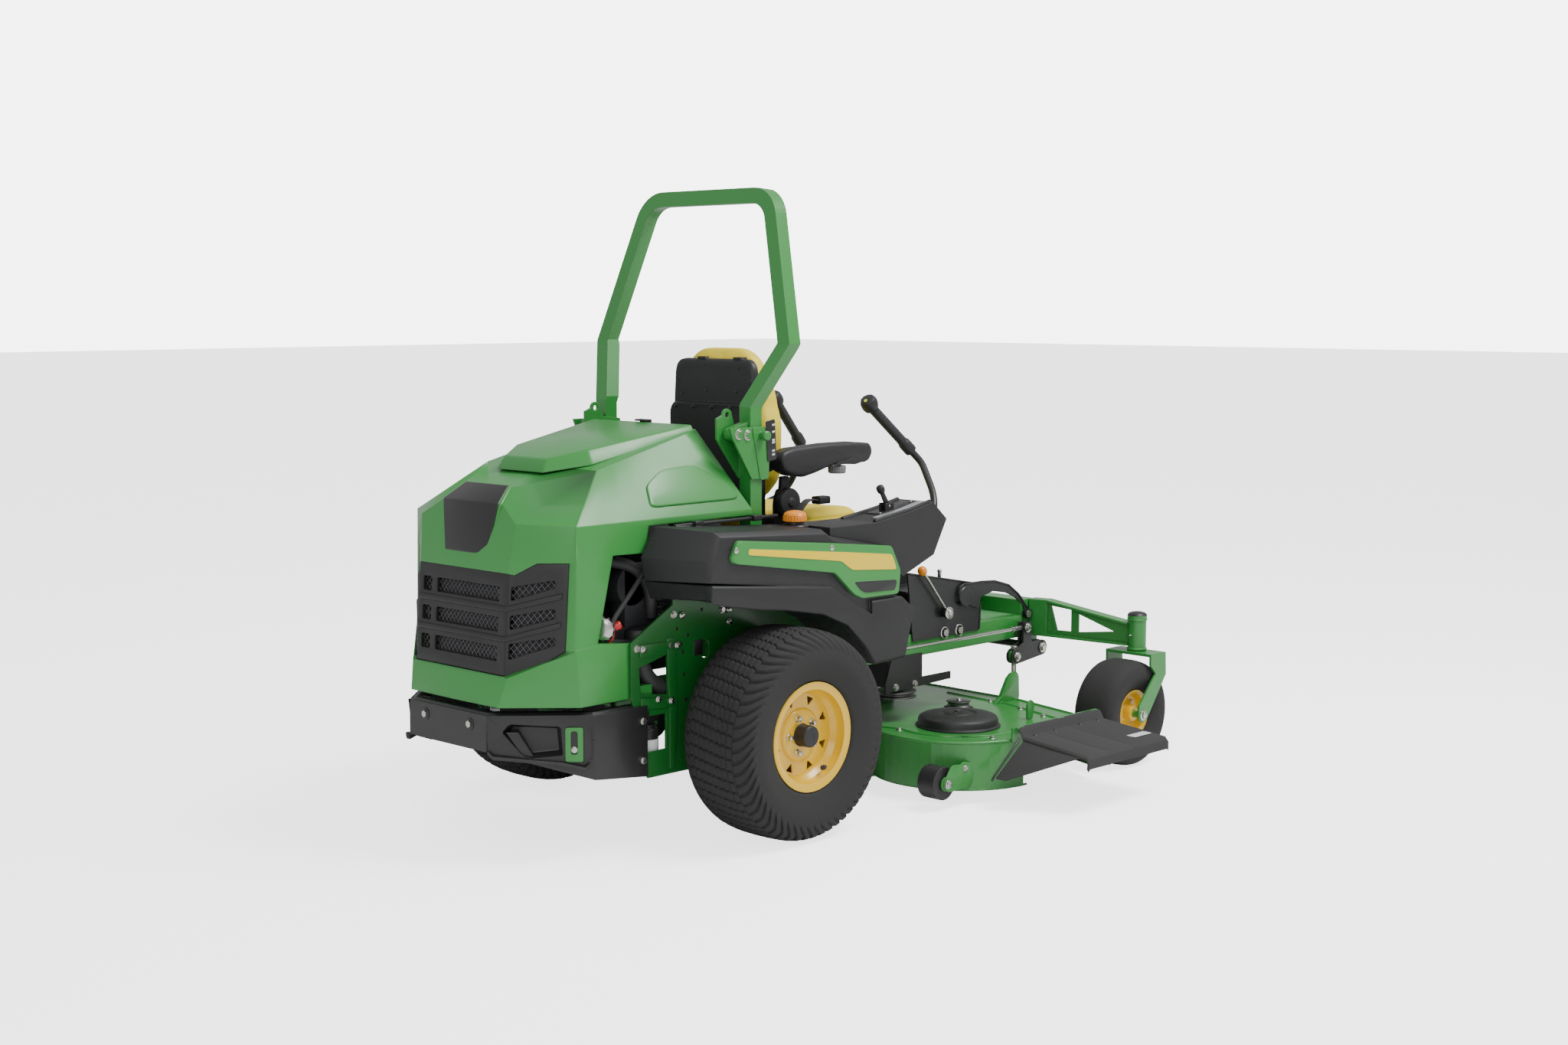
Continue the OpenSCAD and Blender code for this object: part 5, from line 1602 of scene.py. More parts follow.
    def knob(self) -> Piece:
        """Builds the ribbed height knob under the right arm.

        Returns:
            The piece.
        """
        def ribbed(r: float, z: float) -> list[P3]:
            """A scalloped ring of the knob."""
            return [(540 + math.cos(t) * (r - 2.5 * (k % 2)), -299 + math.sin(t) * (r - 2.5 * (k % 2)), z)
                    for k, t in ((k, math.pi * k / 22) for k in range(44))]

        shape = Shape()
        shape.loft([ribbed(26, 1084), ribbed(30, 1087), ribbed(31, 1106), ribbed(28, 1110)], GREY)
        shape.rod((540, -299, 1108), (540, -299, 1122), 10, STEEL)
        return shape.build("arm_knob_ribbed", "arm_knob", "grey_plastic", "armrest_knob", bevel=0.8, angle=40)

    def belt(self) -> list[Piece]:
        """Builds the belt reels, the strap and its buckle.

        Returns:
            The pieces.
        """
        reel = Shape()
        reel.lathe([(30, 0), (44, 3), (47, 8), (47, 34), (44, 40), (30, 43)], (330, 250, 1000), TO_LEFT, PLASTIC, 40)
        reel.lathe([(16, 43), (14, 48), (6, 49)], (330, 250, 1000), TO_LEFT, PLASTIC, 30)
        reel.side(rounded([(290, 890), (352, 890), (366, 1000), (350, 1044), (304, 1044), (290, 1000)], 14), 243,
                  251, COAT_BLACK)
        reel.side(rounded([(306, 1030), (340, 1030), (344, 1085), (310, 1085)], 8), 252, 268, PLASTIC)
        reel.both()
        strap = Shape()
        path = smooth_path([(372, 246, 905), (398, 250, 968), (440, 252, 1004), (490, 254, 992)], 40)
        rings = []
        for k, p in enumerate(path):
            t = (path[min(k + 1, len(path) - 1)] - path[max(k - 1, 0)]).normalized()
            n = Vector(TO_LEFT).cross(t)
            rings.append([p + n * a + Vector((0, b, 0)) for a, b in ((2, -5), (2, 24), (-2, 24), (-2, -5))])
        strap.loft(rings, WEB)
        buckle = Shape()
        buckle.loft([[(x, y, z) for y, z in rounded([(242, 982), (284, 982), (284, 1008), (242, 1008)], 7)]
                     for x in (476, 482, 520, 526)], PLASTIC)
        buckle.box((526, 529), (252, 274), (988, 1001), RED)
        for s in (strap, buckle):
            s.handed(Side.RIGHT)
        return [reel.build("belt_reels", "seat", "black_plastic", bevel=1.2),
                strap.build("belt_strap", "seat", "black_plastic"),
                buckle.build("belt_buckle", "seat", "black_plastic", bevel=2)]

    def make(self) -> list[Piece]:
        """Builds every piece of the seat."""
        return [self.bottom(), self.rest(), self.shell(), self.hinges(), self.arm(Side.RIGHT), self.arm(Side.LEFT),
                self.knob(), *self.belt()]


@dataclass
class Lever:
    """One control lever: a bent tube with a thick grip and a head."""

    side: Side
    tube_r: float = 12.5
    grip_r: float = 17.0

    def make(self) -> list[Piece]:
        """Builds the lever.

        Returns:
            The pieces.
        """
        path = smooth_path([(765, 425, 884), (840, 412, 890), (955, 375, 935), (985, 345, 990), (985, 290, 1095),
                            (960, 268, 1130), (930, 260, 1159)], 46, 8)
        shape = Shape()
        shape.tube(path, self.tube_r, COAT_BLACK, 20)
        shape.box((758, 772), (411, 439), (868, 896), COAT_BLACK)
        start, end = Vector((952, 266, 1138)), Vector((790, 228, 1292))
        along = (end - start).normalized()
        length = (end - start).length
        profile = [(self.tube_r + 1, -8), (21, -4), (22, 2), (22, 38), (19, 44)]
        for k in range(14):
            z = 50 + k * (length - 60) / 14
            profile += [(self.grip_r + 0.5, z), (self.grip_r + 0.5, z + 7), (self.grip_r - 0.7, z + 8.5)]
        profile += [(18, length - 6), (24, length)]
        shape.lathe(profile, start, along, PLASTIC, 28)
        lobe = Vector((786, 227, 1296))
        shape.lathe([(20, -16), (27, -8), (30, 4), (30, 22), (26, 33), (12, 37)], lobe, (-0.62, 0.12, 0.78), PLASTIC,
                    10)
        shape.lathe([(10, 0), (10, 2.5), (8, 3)], Vector((764, 231, 1308)), (-0.75, 0.15, 0.64), COAT_BLACK, 24)
        shape.handed(self.side)
        return [shape.build(f"lever_{self.side.word}_dressed", f"grip_{self.side.word}", "black_steel",
                            f"lever_{self.side.word}", bevel=1, angle=50)]


# ---------- fenders, consoles and engine bay ----------


@dataclass
class Fender:
    """One rear fender with its green side panel, blank stripe and fastenings."""

    side: Side
    inner: float = 402.0
    outer: float = 615.0

    def box(self) -> Shape:
        """Draws the fender's upper box.

        Returns:
            The shape.
        """
        rear_in = [(-372, 984), (-430, 895), (-415, 824)]
        rear_out = [(-312, 976), (-338, 892), (-352, 828)]
        shared = [(172, 764), (355, 655), (470, 655), (480, 711), (470, 868), (190, 925), (150, 950)]
        rings = [[(x, self.inner, z) for x, z in rear_in + shared],
                 [(x, self.outer - 22, z) for x, z in rear_out + shared],
                 [(x + 8 * (x < 0), self.outer, z - 14 * (z > 850)) for x, z in rear_out + shared]]
        return Shape().loft(rings, PLASTIC)

    def band(self, shape: Shape) -> None:
        """Adds the lower band that stands out over the tyre.

        Args:
            shape: The fender's shape.
        """
        rear_in = [(-415, 822), (-392, 768)]
        rear_out = [(-346, 822), (-352, 776)]
        low = [(-300, 762), (-150, 735), (-40, 722), (126, 692), (240, 640), (330, 556), (374, 498), (517, 504),
               (557, 662), (500, 706), (355, 706), (355, 662), (172, 770)]
        shape.loft([[(x, self.inner, z) for x, z in rear_in + low], [(x, 604, z) for x, z in rear_out + low]], PLASTIC)
        shape.loft([[(x, 604, z) for x, z in rear_out + low], [(x, 624, z) for x, z in rear_out + low],
                    [(x, 628, z - 7 * (z > 690) + 7 * (z < 600)) for x, z in rear_out + low]], PLASTIC)

    def skin(self) -> Piece:
        """Builds the whole fender with its hinge lip and the filler neck.

        Returns:
            The piece.
        """
        shape = self.box()
        self.band(shape)
        shape.box((-300, 140), (self.inner + 2, self.inner + 16), (975, 985), PLASTIC)
        for x in (-230, 20):
            shape.box((x, x + 34), (self.inner + 4, self.inner + 30), (972, 990), COAT_BLACK)
        if self.side is Side.RIGHT:
            shape.lathe([(44, -50), (44, -12), (40, -8), (30, -6), (30, -0.5)], (170, 462, 962), UP, COAT_BLACK, 44)
        return shape.handed(self.side).build(f"fender_{self.side.word}_moulded", "chassis", "black_plastic",
                                             f"fender_{self.side.word}", bevel=4, angle=22)

    def panel(self) -> Piece:
        """Builds the green side panel with its stripe, insert and bolts.

        Returns:
            The piece.
        """
        edge = [(-242, 948), (164, 907), (449, 875), (494, 790), (484, 716), (308, 718), (269, 735), (181, 812),
                (-258, 880), (-270, 894)]
        stripe = [(-203, 920), (207, 876), (449, 848), (472, 796), (258, 814), (207, 847), (-206, 902)]
        insert = [(266, 776), (470, 764), (462, 732), (322, 736), (300, 744)]
        shape = Shape()

        def ring(outline: Sequence[P2], y: float, k: float = 1.0) -> list[P3]:
            """One rounded outline at a depth.

            Args:
                outline: The corners.
                y: The depth.
                k: Scale about its middle.

            Returns:
                The ring.
            """
            cx = sum(p[0] for p in outline) / len(outline)
            cz = sum(p[1] for p in outline) / len(outline)
            return [(cx + (x - cx) * k, y, cz + (z - cz) * k) for x, z in rounded(outline, 12, 3)]
        shape.loft([ring(edge, 612), ring(edge, 624), ring(edge, 629, 0.985)], PANEL_GREEN)
        shape.loft([ring(stripe, 625, 0.99), ring(stripe, 630, 0.99), ring(stripe, 630.6, 0.985)], STRIPE)
        shape.loft([ring(insert, 625), ring(insert, 631), ring(insert, 632, 0.97)], COAT_BLACK)
        for p in ((-252, 919), (164, 892)):
            shape.lathe([(9, 0), (9, 2), (7, 3.4), (3, 3.8)], (p[0], 628.5, p[1]), TO_LEFT, PLATED, 20)
        shape.handed(self.side)
        nodes = ("fender_panels",) if self.side is Side.RIGHT else ()
        return shape.build(f"side_panel_{self.side.word}", "chassis", "green_paint", *nodes, smooth=30)

    def make(self) -> list[Piece]:
        """Builds every piece of the fender."""
        return [self.skin(), self.panel()]


@dataclass
class Filler:
    """The ribbed orange fuel cap."""

    centre: P3 = (170, -462, 962)

    def make(self) -> list[Piece]:
        """Builds the cap.

        Returns:
            The pieces.
        """
        cx, cy, cz = self.centre

        def ring(r: float, z: float, deep: float = 0.0) -> list[P3]:
            """A scalloped ring of the cap."""
            return [(cx + math.cos(t) * (r - deep * (k % 4 > 1)), cy + math.sin(t) * (r - deep * (k % 4 > 1)), cz + z)
                    for k, t in ((k, math.pi * k / 48) for k in range(96))]

        shape = Shape()
        shape.loft([ring(33, 0.5), ring(38, 3, 1.8), ring(38, 17, 1.8), ring(36.5, 19), ring(37, 21), ring(33, 28),
                    ring(24, 33), ring(12, 35.5), ring(3, 36)], ORANGE)
        return [shape.build("fuel_cap_ribbed", "cap", "cap_orange", "fuel_cap", smooth=28)]


@dataclass
class Console:
    """Trim on the two side consoles."""

    side: Side

    def make(self) -> list[Piece]:
        """Builds the raised rim, the metal strip and the gate plate.

        Returns:
            The pieces.
        """
        def top(x: float, y: float, lift: float = 0.0) -> P3:
            """A point on the console's top face, which climbs to the front.

            Args:
                x: Distance ahead of the drive axle.
                y: Distance to the left.
                lift: Distance off the face.

            Returns:
                The point in millimetres.
            """
            z = 948 + (x - 433) * 0.1437 if x < 600 else 972 + (x - 600) * 0.209
            return (x, y, z + lift)

        shape = Shape()
        whole = (430, 520, 600, 660, 705)
        for section, places, finish in (
                (((566, -4), (574, 1), (572, 9), (562, 9), (558, -4)), whole, PLASTIC),
                (((428, -4), (418, 1), (420, 7), (430, 7), (434, -4)), whole, PLASTIC),
                (((520, -2), (550, -2), (550, 4), (520, 4)), (470, 560, 600, 640, 696), SILVER),
                (((446, -2), (510, -2), (510, 3), (446, 3)), (520, 560, 600, 640, 690), COAT_BLACK)):
            shape.loft([[top(x, y, lift) for y, lift in section] for x in places], finish)
        for x in (530, 682):
            shape.lathe([(5, 0), (5, 2), (3, 3)], top(x, 502, 3), UP, PLATED, 16)
        shape.handed(self.side)
        out = [shape.build(f"console_trim_{self.side.word}", "chassis", "black_plastic", bevel=1.5, angle=30)]
        if self.side is Side.RIGHT:
            knob = Shape()
            knob.side([(571, 976), (589, 976), (589, 996), (562, 1036), (548, 1032), (571, 992)], -489, -481,
                      COAT_BLACK)
            knob.rod((580, -501, 985), (580, -469, 985), 4, PLATED)
            knob.lathe([(9, -14), (12, -10), (14, 0), (13, 9), (9, 13), (3, 14)], (551, -485, 1041), (-0.5, 0, 0.86),
                       PLASTIC, 24)
            out.append(knob.build("throttle_lever_dressed", "throttle", "black_plastic", "throttle_lever", bevel=1.5))
        return out


@dataclass
class EngineBay:
    """What shows through the openings of the rear: hoses, filter, filler neck, straps and bolts."""

    wall: float = 402.0

    def hoses(self) -> Piece:
        """Builds the curved hoses behind both windows.

        Returns:
            The piece.
        """
        shape = Shape()
        for r, bend, sides, route in (
                (8, 40, 14, [(-352, 372, 880), (-392, 372, 842), (-440, 374, 792), (-482, 374, 748), (-512, 374, 716),
                             (-520, 372, 690)]),
                (25, 50, 24, [(-420, 366, 640), (-400, 368, 560), (-372, 372, 512), (-300, 366, 476),
                              (-230, 350, 470)]),
                (14, 40, 16, [(-500, 330, 640), (-420, 350, 625), (-330, 345, 640), (-260, 330, 700)]),
                (18, 50, 18, [(-470, 300, 880), (-400, 345, 860), (-350, 350, 800), (-330, 340, 700)])):
            shape.tube(smooth_path(route, bend), r, HOSE, sides)
        return shape.both().build("engine_hoses", "chassis", "engine_iron")

    def neck(self) -> Piece:
        """Builds the silver filler neck with its notched collar and red cap.

        Returns:
            The piece.
        """
        shape = Shape()
        axis = (-0.8, -0.6, 0.0)
        base = (-520, -340, 687)
        shape.lathe([(20, -30), (22, -10), (30, -6), (30, 12), (34, 14), (34, 34), (28, 38), (14, 39)], base, axis,
                    PLATED, 36)
        for k in range(12):
            a = math.tau * k / 12
            centre = Vector(base) + Vector((0.6, -0.8, 0)) * (34 * math.cos(a)) + Vector((0, 0,
                34 * math.sin(a))) + Vector(axis) * 16
            shape.rod(centre, centre + Vector(axis) * 17, 5, STEEL, 8)
        shape.lathe([(10, 0), (13, 3), (13, 20), (10, 24), (4, 25)], (-508, -368, 690), (0.55, -0.5, 0.3), RED, 24)
        shape.tube(smooth_path([(-505, -366, 684), (-512, -372, 660), (-524, -360, 640)], 10), 3.5, RED, 10)
        return shape.build("filler_neck", "chassis", "engine_iron", bevel=0.8)

    def cans(self) -> Piece:
        """Builds the round canister, the spin-on filter and its plain label.

        Returns:
            The piece.
        """
        shape = Shape()
        shape.lathe([(40, 0), (56, 4), (60, 12), (60, 64), (56, 74), (40, 80), (18, 82)], (-376, -338, 596), UP,
                    PLASTIC, 48)
        shape.lathe([(61.5, 30), (63, 32), (63, 38), (61.5, 40)], (-376, -338, 596), UP, COAT_BLACK, 48)
        shape.lathe([(20, 0), (34, 3), (39, 12), (39, 96), (36, 104), (30, 108), (30, 118)], (-370, -352, 258), UP,
                    COAT_BLACK, 40)
        shape.lathe([(39.6, 40), (39.6, 74)], (-370, -352, 258), UP, LABEL, 40, caps=False)
        shape.box((-440, -290), (268, 276), (255, 640), IRON)
        shape.box((-660, -280), (20, 330), (452, 462), IRON)
        for k in range(6):
            shape.box((-424 + k * 22, -412 + k * 22), (276, 284), (300, 600), IRON)
        shape.box((-430, -300), (270, 330), (600, 860), IRON)
        for k in range(5):
            shape.lathe([(26, 0), (30, 2), (30, 9), (26, 11)], (-300, -330, 700 + k * 24), UP, IRON, 24)
        return shape.both().build("engine_cans", "chassis", "engine_iron", bevel=1)

    def straps(self) -> Piece:
        """Builds the straps, slots and bolts on the side plates.

        Returns:
            The piece.
        """
        w = self.wall
        shape = Shape()
        shape.side(rounded([(-442, 632), (-296, 628), (-290, 604), (-330, 606), (-332, 590), (-436, 592)], 5), w,
                   w + 5, DEEP_GREEN)
        shape.side(rounded([(-330, 640), (-296, 640), (-286, 440), (-300, 236), (-318, 236), (-318, 440)], 5), w,
                   w + 4, DEEP_GREEN)
        shape.side(rounded([(-436, 470), (-300, 452), (-296, 424), (-436, 436)], 5), w, w + 5, DEEP_GREEN)
        shape.side(rounded([(-214, 572), (-176, 572), (-176, 620), (-214, 620)], 7), w, w + 1, COAT_BLACK)
        shape.side(rounded([(-426, 398), (-404, 398), (-404, 428), (-426, 428)], 4), w, w + 5.6, COAT_BLACK)
        for x, z in ((-240, 640), (-262, 590), (-258, 520), (-250, 440), (-240, 330), (-110, 740), (-180, 712),
                     (-286, 664), (-268, 616)):
            shape.lathe([(6, 0), (6, 0.8)], (x, w, z), TO_LEFT, COAT_BLACK, 16)
        for x, z in ((-424, 617), (-285, 614), (-364, 458), (-311, 446), (-266, 704), (-67, 700), (-67, 662)):
            shape.bolt((x, w + 4.5, z), TO_LEFT, 8.5)
        return shape.both().build("side_plate_straps", "chassis", "green_paint", bevel=1, angle=30)

    def make(self) -> list[Piece]:
        """Builds every piece of the engine bay."""
        return [self.hoses(), self.neck(), self.cans(), self.straps()]


# ---------- roll bar, deck, lift and front ----------


@dataclass
class RollBarTrim:
    """Bolts, knobs and blank strips at the roll bar's fold joints."""

    face: float = 380.5

    def make(self) -> list[Piece]:
        """Builds the trim.

        Returns:
            The pieces.
        """
        f = self.face
        metal = Shape()
        metal.bolt((4, f, 1241), TO_LEFT, 13)
        metal.bolt((43, f, 1237), TO_LEFT, 13)
        metal.bolt((4, 313, 1241), TO_RIGHT, 13)
        metal.both()
        knob = Shape()
        knob.lathe([(11, 0), (13, 3), (13, 18), (16, 20), (16, 30), (12, 33), (5, 34)], (100, f, 1234), TO_LEFT,
                   GREEN, 28)
        knob.side(rounded([(96, 1092), (134, 1096), (136, 1171), (120, 1262), (60, 1262)], 10), f, f + 2.5, GREEN)
        knob.both()
        strip = Shape()
        strip.side(rounded([(126, 1150), (166, 1156), (158, 1284), (118, 1278)], 6), f + 2, f + 5, COAT_BLACK)
        for z in (1168, 1180, 1206, 1214, 1240, 1262):
            strip.side([(146, z), (158, z + 2), (157, z + 8), (145, z + 6)], f + 4.6, f + 5.4, LABEL)
        strip.handed(Side.RIGHT)
        return [metal.build("fold_bolts", "chassis", "bright_steel", bevel=0.5, angle=40),
                knob.build("lock_knobs", "chassis", "green_paint", bevel=1.2, angle=40),
                strip.build("fold_strip", "chassis", "black_plastic", bevel=0.4)]


@dataclass
class DeckDress:
    """Covers, chute, rims, brackets and small fittings of the cutting deck."""

    hinge_y: float = 820.0
    top: float = 205.0

    def covers(self) -> Piece:
        """Builds the low domed belt covers with their centre slots.

        Returns:
            The piece.
        """
        shape = Shape()
        centre = (918, 520, self.top)
        shape.lathe([(144, 0), (146, 2), (146, 5), (138, 7), (138, 24), (134, 32), (124, 38), (96, 42), (66, 44),
                     (60, 41), (48, 41), (43, 45), (3, 46)],
                    centre, UP, PLASTIC, 72)
        shape.box((896, 940), (515, 525), (250, 252.5), COAT_BLACK)
        return shape.both().build("belt_covers_domed", "deck", "black_plastic", "belt_covers", bevel=2, angle=30)

    def rims(self) -> Piece:
        """Builds the rounded top edge, the stiffening ridges and the brackets.

        Returns:
            The piece.
        """
        z = self.top
        edge = [(604, 0), (604, 340), *arc((918, 520), 297, 210, 90, 14), (1300, 816), (1350, 680), (1417, 402),
                (1427, 0)]
        shape = Shape()
        shape.tube([(x, y, z) for x, y in edge], 5.5, GREEN, 12)
        shape.tube([(x, y, 48) for x, y in edge[:17]], 4, GREEN, 10)
        ridge = [(700, 120), (700, 330), *arc((918, 520), 205, 205, 95, 10), (1240, 720), (1330, 420), (1350, 120)]
        shape.loft([[(x + dx, y + dy, z + h) for dx, dy, h in ((-9, -9, -1), (-4, -4, 5), (4, 4, 5), (9, 9, -1))]
                    for x, y in ridge], GREEN)
        shape.side(rounded([(610, 150), (700, 140), (724, 92), (700, 62), (590, 62), (566, 90)], 18), 745.5, 749, GREEN)
        shape.side(rounded([(1286, 203), (1328, 224), (1368, 286), (1390, 312), (1412, 314), (1432, 296),
                            (1436, 203)], 16), 376, 382, GREEN)
        shape.both()
        shape.side(rounded([(1150, 206), (1180, 206), (1190, 262), (1170, 276), (1150, 262)], 8), -640, -634, GREEN)
        return shape.build("deck_rims", "deck", "green_paint", bevel=1.2, angle=35)

    def fittings(self) -> Piece:
        """Builds the idler pulley, the hanger rods and the bolts.

        Returns:
            The piece.
        """
        shape = Shape()
        shape.lathe([(42, 0), (46, 2), (38, 8), (38, 14), (46, 20), (42, 22)], (1150, -330, 212), UP, STEEL, 40)
        shape.bolt((1150, -330, 233), UP, 10)
        shape.side(rounded([(1120, 206), (1182, 206), (1182, 212), (1120, 212)], 2), -372, -288, COAT_BLACK)
        for x, y in ((712, -430), (712, -300), (1240, -640), (1290, -500), (1100, -760), (830, -740), (1330, -330),
                     (700, 200), (1360, 200)):
            shape.bolt((x, y, 205), UP, 9)
        shape.bolt((590, -752, 90), TO_RIGHT, 12)
        shape.bolt((680, -749, 128), TO_RIGHT, 8)
        for s in (-371, 371):
            shape.lathe([(10.5, 300), (10.5, 306), (9.6, 308), (9.6, 344), (12, 345), (12, 352)], (1415, s, 0), UP,
                        PLATED, 24)
            shape.lathe([(14, 390.5), (14, 402), (12, 404)], (1415, s, 0), UP, PLATED, 6)
        return shape.build("deck_fittings", "deck", "bright_steel", bevel=0.6, angle=40)

    def chute(self) -> Piece:
        """Builds the moulded discharge chute with its rolled edges, flap, wire and rivets.

        Returns:
            The piece.
        """
        hy, x0, x1 = self.hinge_y, 850, 1304
        prof = [(-hy - 8, 251), (-hy - 17, 249), (-hy - 26, 236), (-hy - 34, 224), (-hy - 120, 215),
                (-hy - 200, 207), (-hy - 290, 198), (-hy - 300, 186), (-hy - 300, 154)]
        shape = Shape()
        rings = []
        for x, drop in ((x0, 9), (x0 + 6, 2), (x0 + 14, 0), (x0 + 110, 0), (x0 + 116, 2.5), (x0 + 122, 0),
                        (x0 + 240, 0), (x0 + 246, 2.5), (x0 + 252, 0), (x1 - 14, 0), (x1 - 6, 2), (x1, 9)):
            outer = [(x, y, z - drop * (0.3 if k < 3 else 1)) for k, (y, z) in enumerate(prof)]
            inner = [(x, y + (6 if k > 6 else 0), z - 7 - drop * (0.3 if k < 3 else 1))
                     for k, (y, z) in enumerate(prof[:-1])]
            inner.append((x, prof[-1][0] + 7, prof[-1][1]))
            rings.append(outer + inner[::-1])
        shape.loft(rings, FLAP)
        flap = [(853, -hy - 262, 190), (853, -hy - 150, 199), (853, -hy - 36, 212), (716, -hy - 26, 106),
                (722, -hy - 60, 104)]
        shape.loft([flap, [(x + 5, y, z - 5) for x, y, z in flap]], FLAP)
        shape.tube(smooth_path([(850, -hy - 20, 216), (780, -hy - 20, 160), (716, -hy - 20, 110),
                                (706, -hy - 20, 96)], 20), 4, COAT_BLACK, 12)
        for a, b in ((886.3, 1069.7), (1106.3, 1259.7)):
            shape.rod((a, -hy - 8, 243), (b, -hy - 8, 243), 8, COAT_BLACK)
        for x in (900, 1010, 1150, 1250):
            shape.lathe([(8, 0), (7, 3), (3, 4.5)], (x, -hy - 46, 222), (0, -0.1, 1), COAT_BLACK, 18)
        label = rounded([(1180, -hy - 250), (1276, -hy - 250), (1276, -hy - 200), (1180, -hy - 200)], 6)
        shape.flat(label, 203.5, 205.5, LABEL)
        return shape.build("chute_moulded", "discharge", "chute_rubber", "chute", bevel=1.5, angle=35)

    def make(self) -> list[Piece]:
        """Builds every piece of the deck's dressing."""
        return [self.covers(), self.rims(), self.fittings(), self.chute()]


@dataclass
class LiftDress:
    """The cutting height lever, its box's boss and rim, and the lift hardware."""

    wall: float = 346.0

    def lever(self) -> Piece:
        """Builds the height lever with its hub and orange ball.

        Returns:
            The piece.
        """
        shape = Shape()
        shape.lathe([(10.2, 0), (18, 0), (19, 2), (19, 16), (17, 18), (10.2, 18)], (1045, -352, 565), TO_RIGHT,
                    COAT_BLACK, 36, caps=False)
        shape.tube(smooth_path([(1037, -364, 577), (1000, -364, 619), (950, -366, 676), (913, -366, 718)], 20), 5,
                   PLATED, 14)
        shape.lathe([(7, -19), (12, -15), (16.5, -6), (17, 0), (15.5, 7), (10, 13.5), (2, 17)], (905, -364, 727),
                    (-0.66, 0, 0.75), ORANGE, 28)
        return shape.build("height_lever_dressed", "height_stick", "bright_steel", "height_lever", bevel=0.6, angle=40)

    def box_trim(self) -> Piece:
        """Builds the ring boss, the arch rim, the washers and the small post.

        Returns:
            The piece.
        """
        w = self.wall
        shape = Shape()
        shape.lathe([(28, 0), (36, 1), (38, 5), (34, 9), (28, 9)], (1152, -w - 8, 612), TO_RIGHT, COAT_BLACK, 36)
        rim = [*arc((1152, 622), 34, 180, 100, 6), (1250, 655), (1320, 650), (1400, 628), (1460, 588), (1512, 532)]
        shape.tube([(x, -w - 8, z) for x, z in rim], 4, COAT_BLACK, 10)
        shape.tube([(x, -w, z) for x, z in ((852, 720), (1204, 654), (1226, 640), (1248, 560), (1243, 484))], 3.5,
                   COAT_BLACK, 10)
        shape.lathe([(22, 0), (22, 2), (19, 3)], (1045, -w - 24.5, 565), TO_RIGHT, PLATED, 28)
        shape.bolt((1045, -w - 27, 565), TO_RIGHT, 11)
        for x, z in ((1050, 492), (1130, 492)):
            shape.lathe([(22, 0), (22, 1.5), (18, 2)], (x, -w, z), TO_RIGHT, PLATED, 28)
        shape.rod((1098, -280, 655), (1098, -280, 700), 7, PLATED)
        shape.lathe([(9, 0), (9, 6), (5, 9)], (1098, -280, 698), UP, PLATED, 20)
        return shape.build("height_box_trim", "chassis", "black_steel", bevel=0.8, angle=40)

    def hardware(self) -> Piece:
        """Builds the nuts, washers and pins on the lift arms.

        Returns:
            The piece.
        """
        shape = Shape()
        for (x, z), r in (((1415, 366), 13), ((1476, 466), 13), ((1565, 383), 15)):
            shape.lathe([(r + 8, 0), (r + 8, 2), (r + 5, 3)], (x, 385.5, z), TO_LEFT, COAT_BLACK, 28)
            shape.bolt((x, 388, z), TO_LEFT, r)
        return shape.both().build("lift_hardware", "rockshaft", "bright_steel", bevel=0.6, angle=40)

    def rods(self) -> Piece:
        """Builds the adjusting nuts and sleeves on the lift rods.

        Returns:
            The piece.
        """
        shape = Shape()
        for x in (700, 1400):
            shape.lathe([(9, 0), (11, 1), (11, 14), (9, 15)], (x, 371, 466), (1, 0, 0), PLATED, 6)
        shape.lathe([(8, 0), (9, 2), (9, 88), (8, 90)], (1416, 371, 466), (1, 0, 0), STEEL, 24)
        return shape.both().build("rod_nuts", "rods", "bright_steel", bevel=0.6, angle=40)

    def make(self) -> list[Piece]:
        """Builds every piece of the lift's dressing."""
        return [self.lever(), self.box_trim(), self.hardware(), self.rods()]


@dataclass
class FrontDress:
    """The foot plate's treads and the caster fittings."""

    def make(self) -> list[Piece]:
        """Builds every piece at the front.

        Returns:
            The pieces.
        """
        foot = Shape()
        for x in range(740, 1320, 34):
            for y in range(-170, 171, 34):
                foot.lathe([(7, 0), (6, 2.4), (2.5, 3.2)], (x + 9 * ((y // 34) % 2), y, 510), UP, FLOOR_GREEN, 10)
        for y in (-199, 199):
            foot.tube([(720, y, 508), (1330, y, 508)], 5, FLOOR_GREEN, 10)
        for y in (-140, 0, 140):
            foot.lathe([(13, 0), (13, 1.5), (9, 1.5), (9, 0.3)], (1402, y, 558), (-0.53, 0, 0.85), COAT_BLACK, 24)
        out = [foot.build("foot_plate_treads", "chassis", "floor_green", smooth=40)]
        caps = Shape()
        caps.lathe([(33, 0), (36, 1), (36, 7), (33, 9)], (1662, 737, 510), UP, GREEN, 40)
        caps.lathe([(33, 0), (36, 2), (36, 9), (33, 10)], (1662, 737, 403), UP, GREEN, 40)
        caps.lathe([(4, 0), (4, 6), (2.5, 10), (3.4, 12), (2, 15)], (1662 - 33, 737, 460), BACK, PLATED, 14)
        caps.both()
        out.append(caps.build("swivel_collars", "chassis", "green_paint", bevel=0.8, angle=40))
        for side in Side:
            top = Shape()
            top.lathe([(35, 0), (35, 3), (30, 9), (18, 13), (3, 14)], (1662, 737, 529), UP, COAT_BLACK, 36)
            for y in (737 - 98.5, 737 + 98.5):
                way = (0, -1 if y < 737 else 1, 0)
                top.lathe([(20, 0), (20, 2), (17, 3)], (1567, y, 190), way, PLATED, 28)
                top.bolt((1567, y + 2 * way[1], 190), way, 12)
            top.handed(side)
            out.append(top.build(f"caster_caps_{side.word}", f"fork_{side.word}", "bright_steel", bevel=0.6, angle=40))
        return out


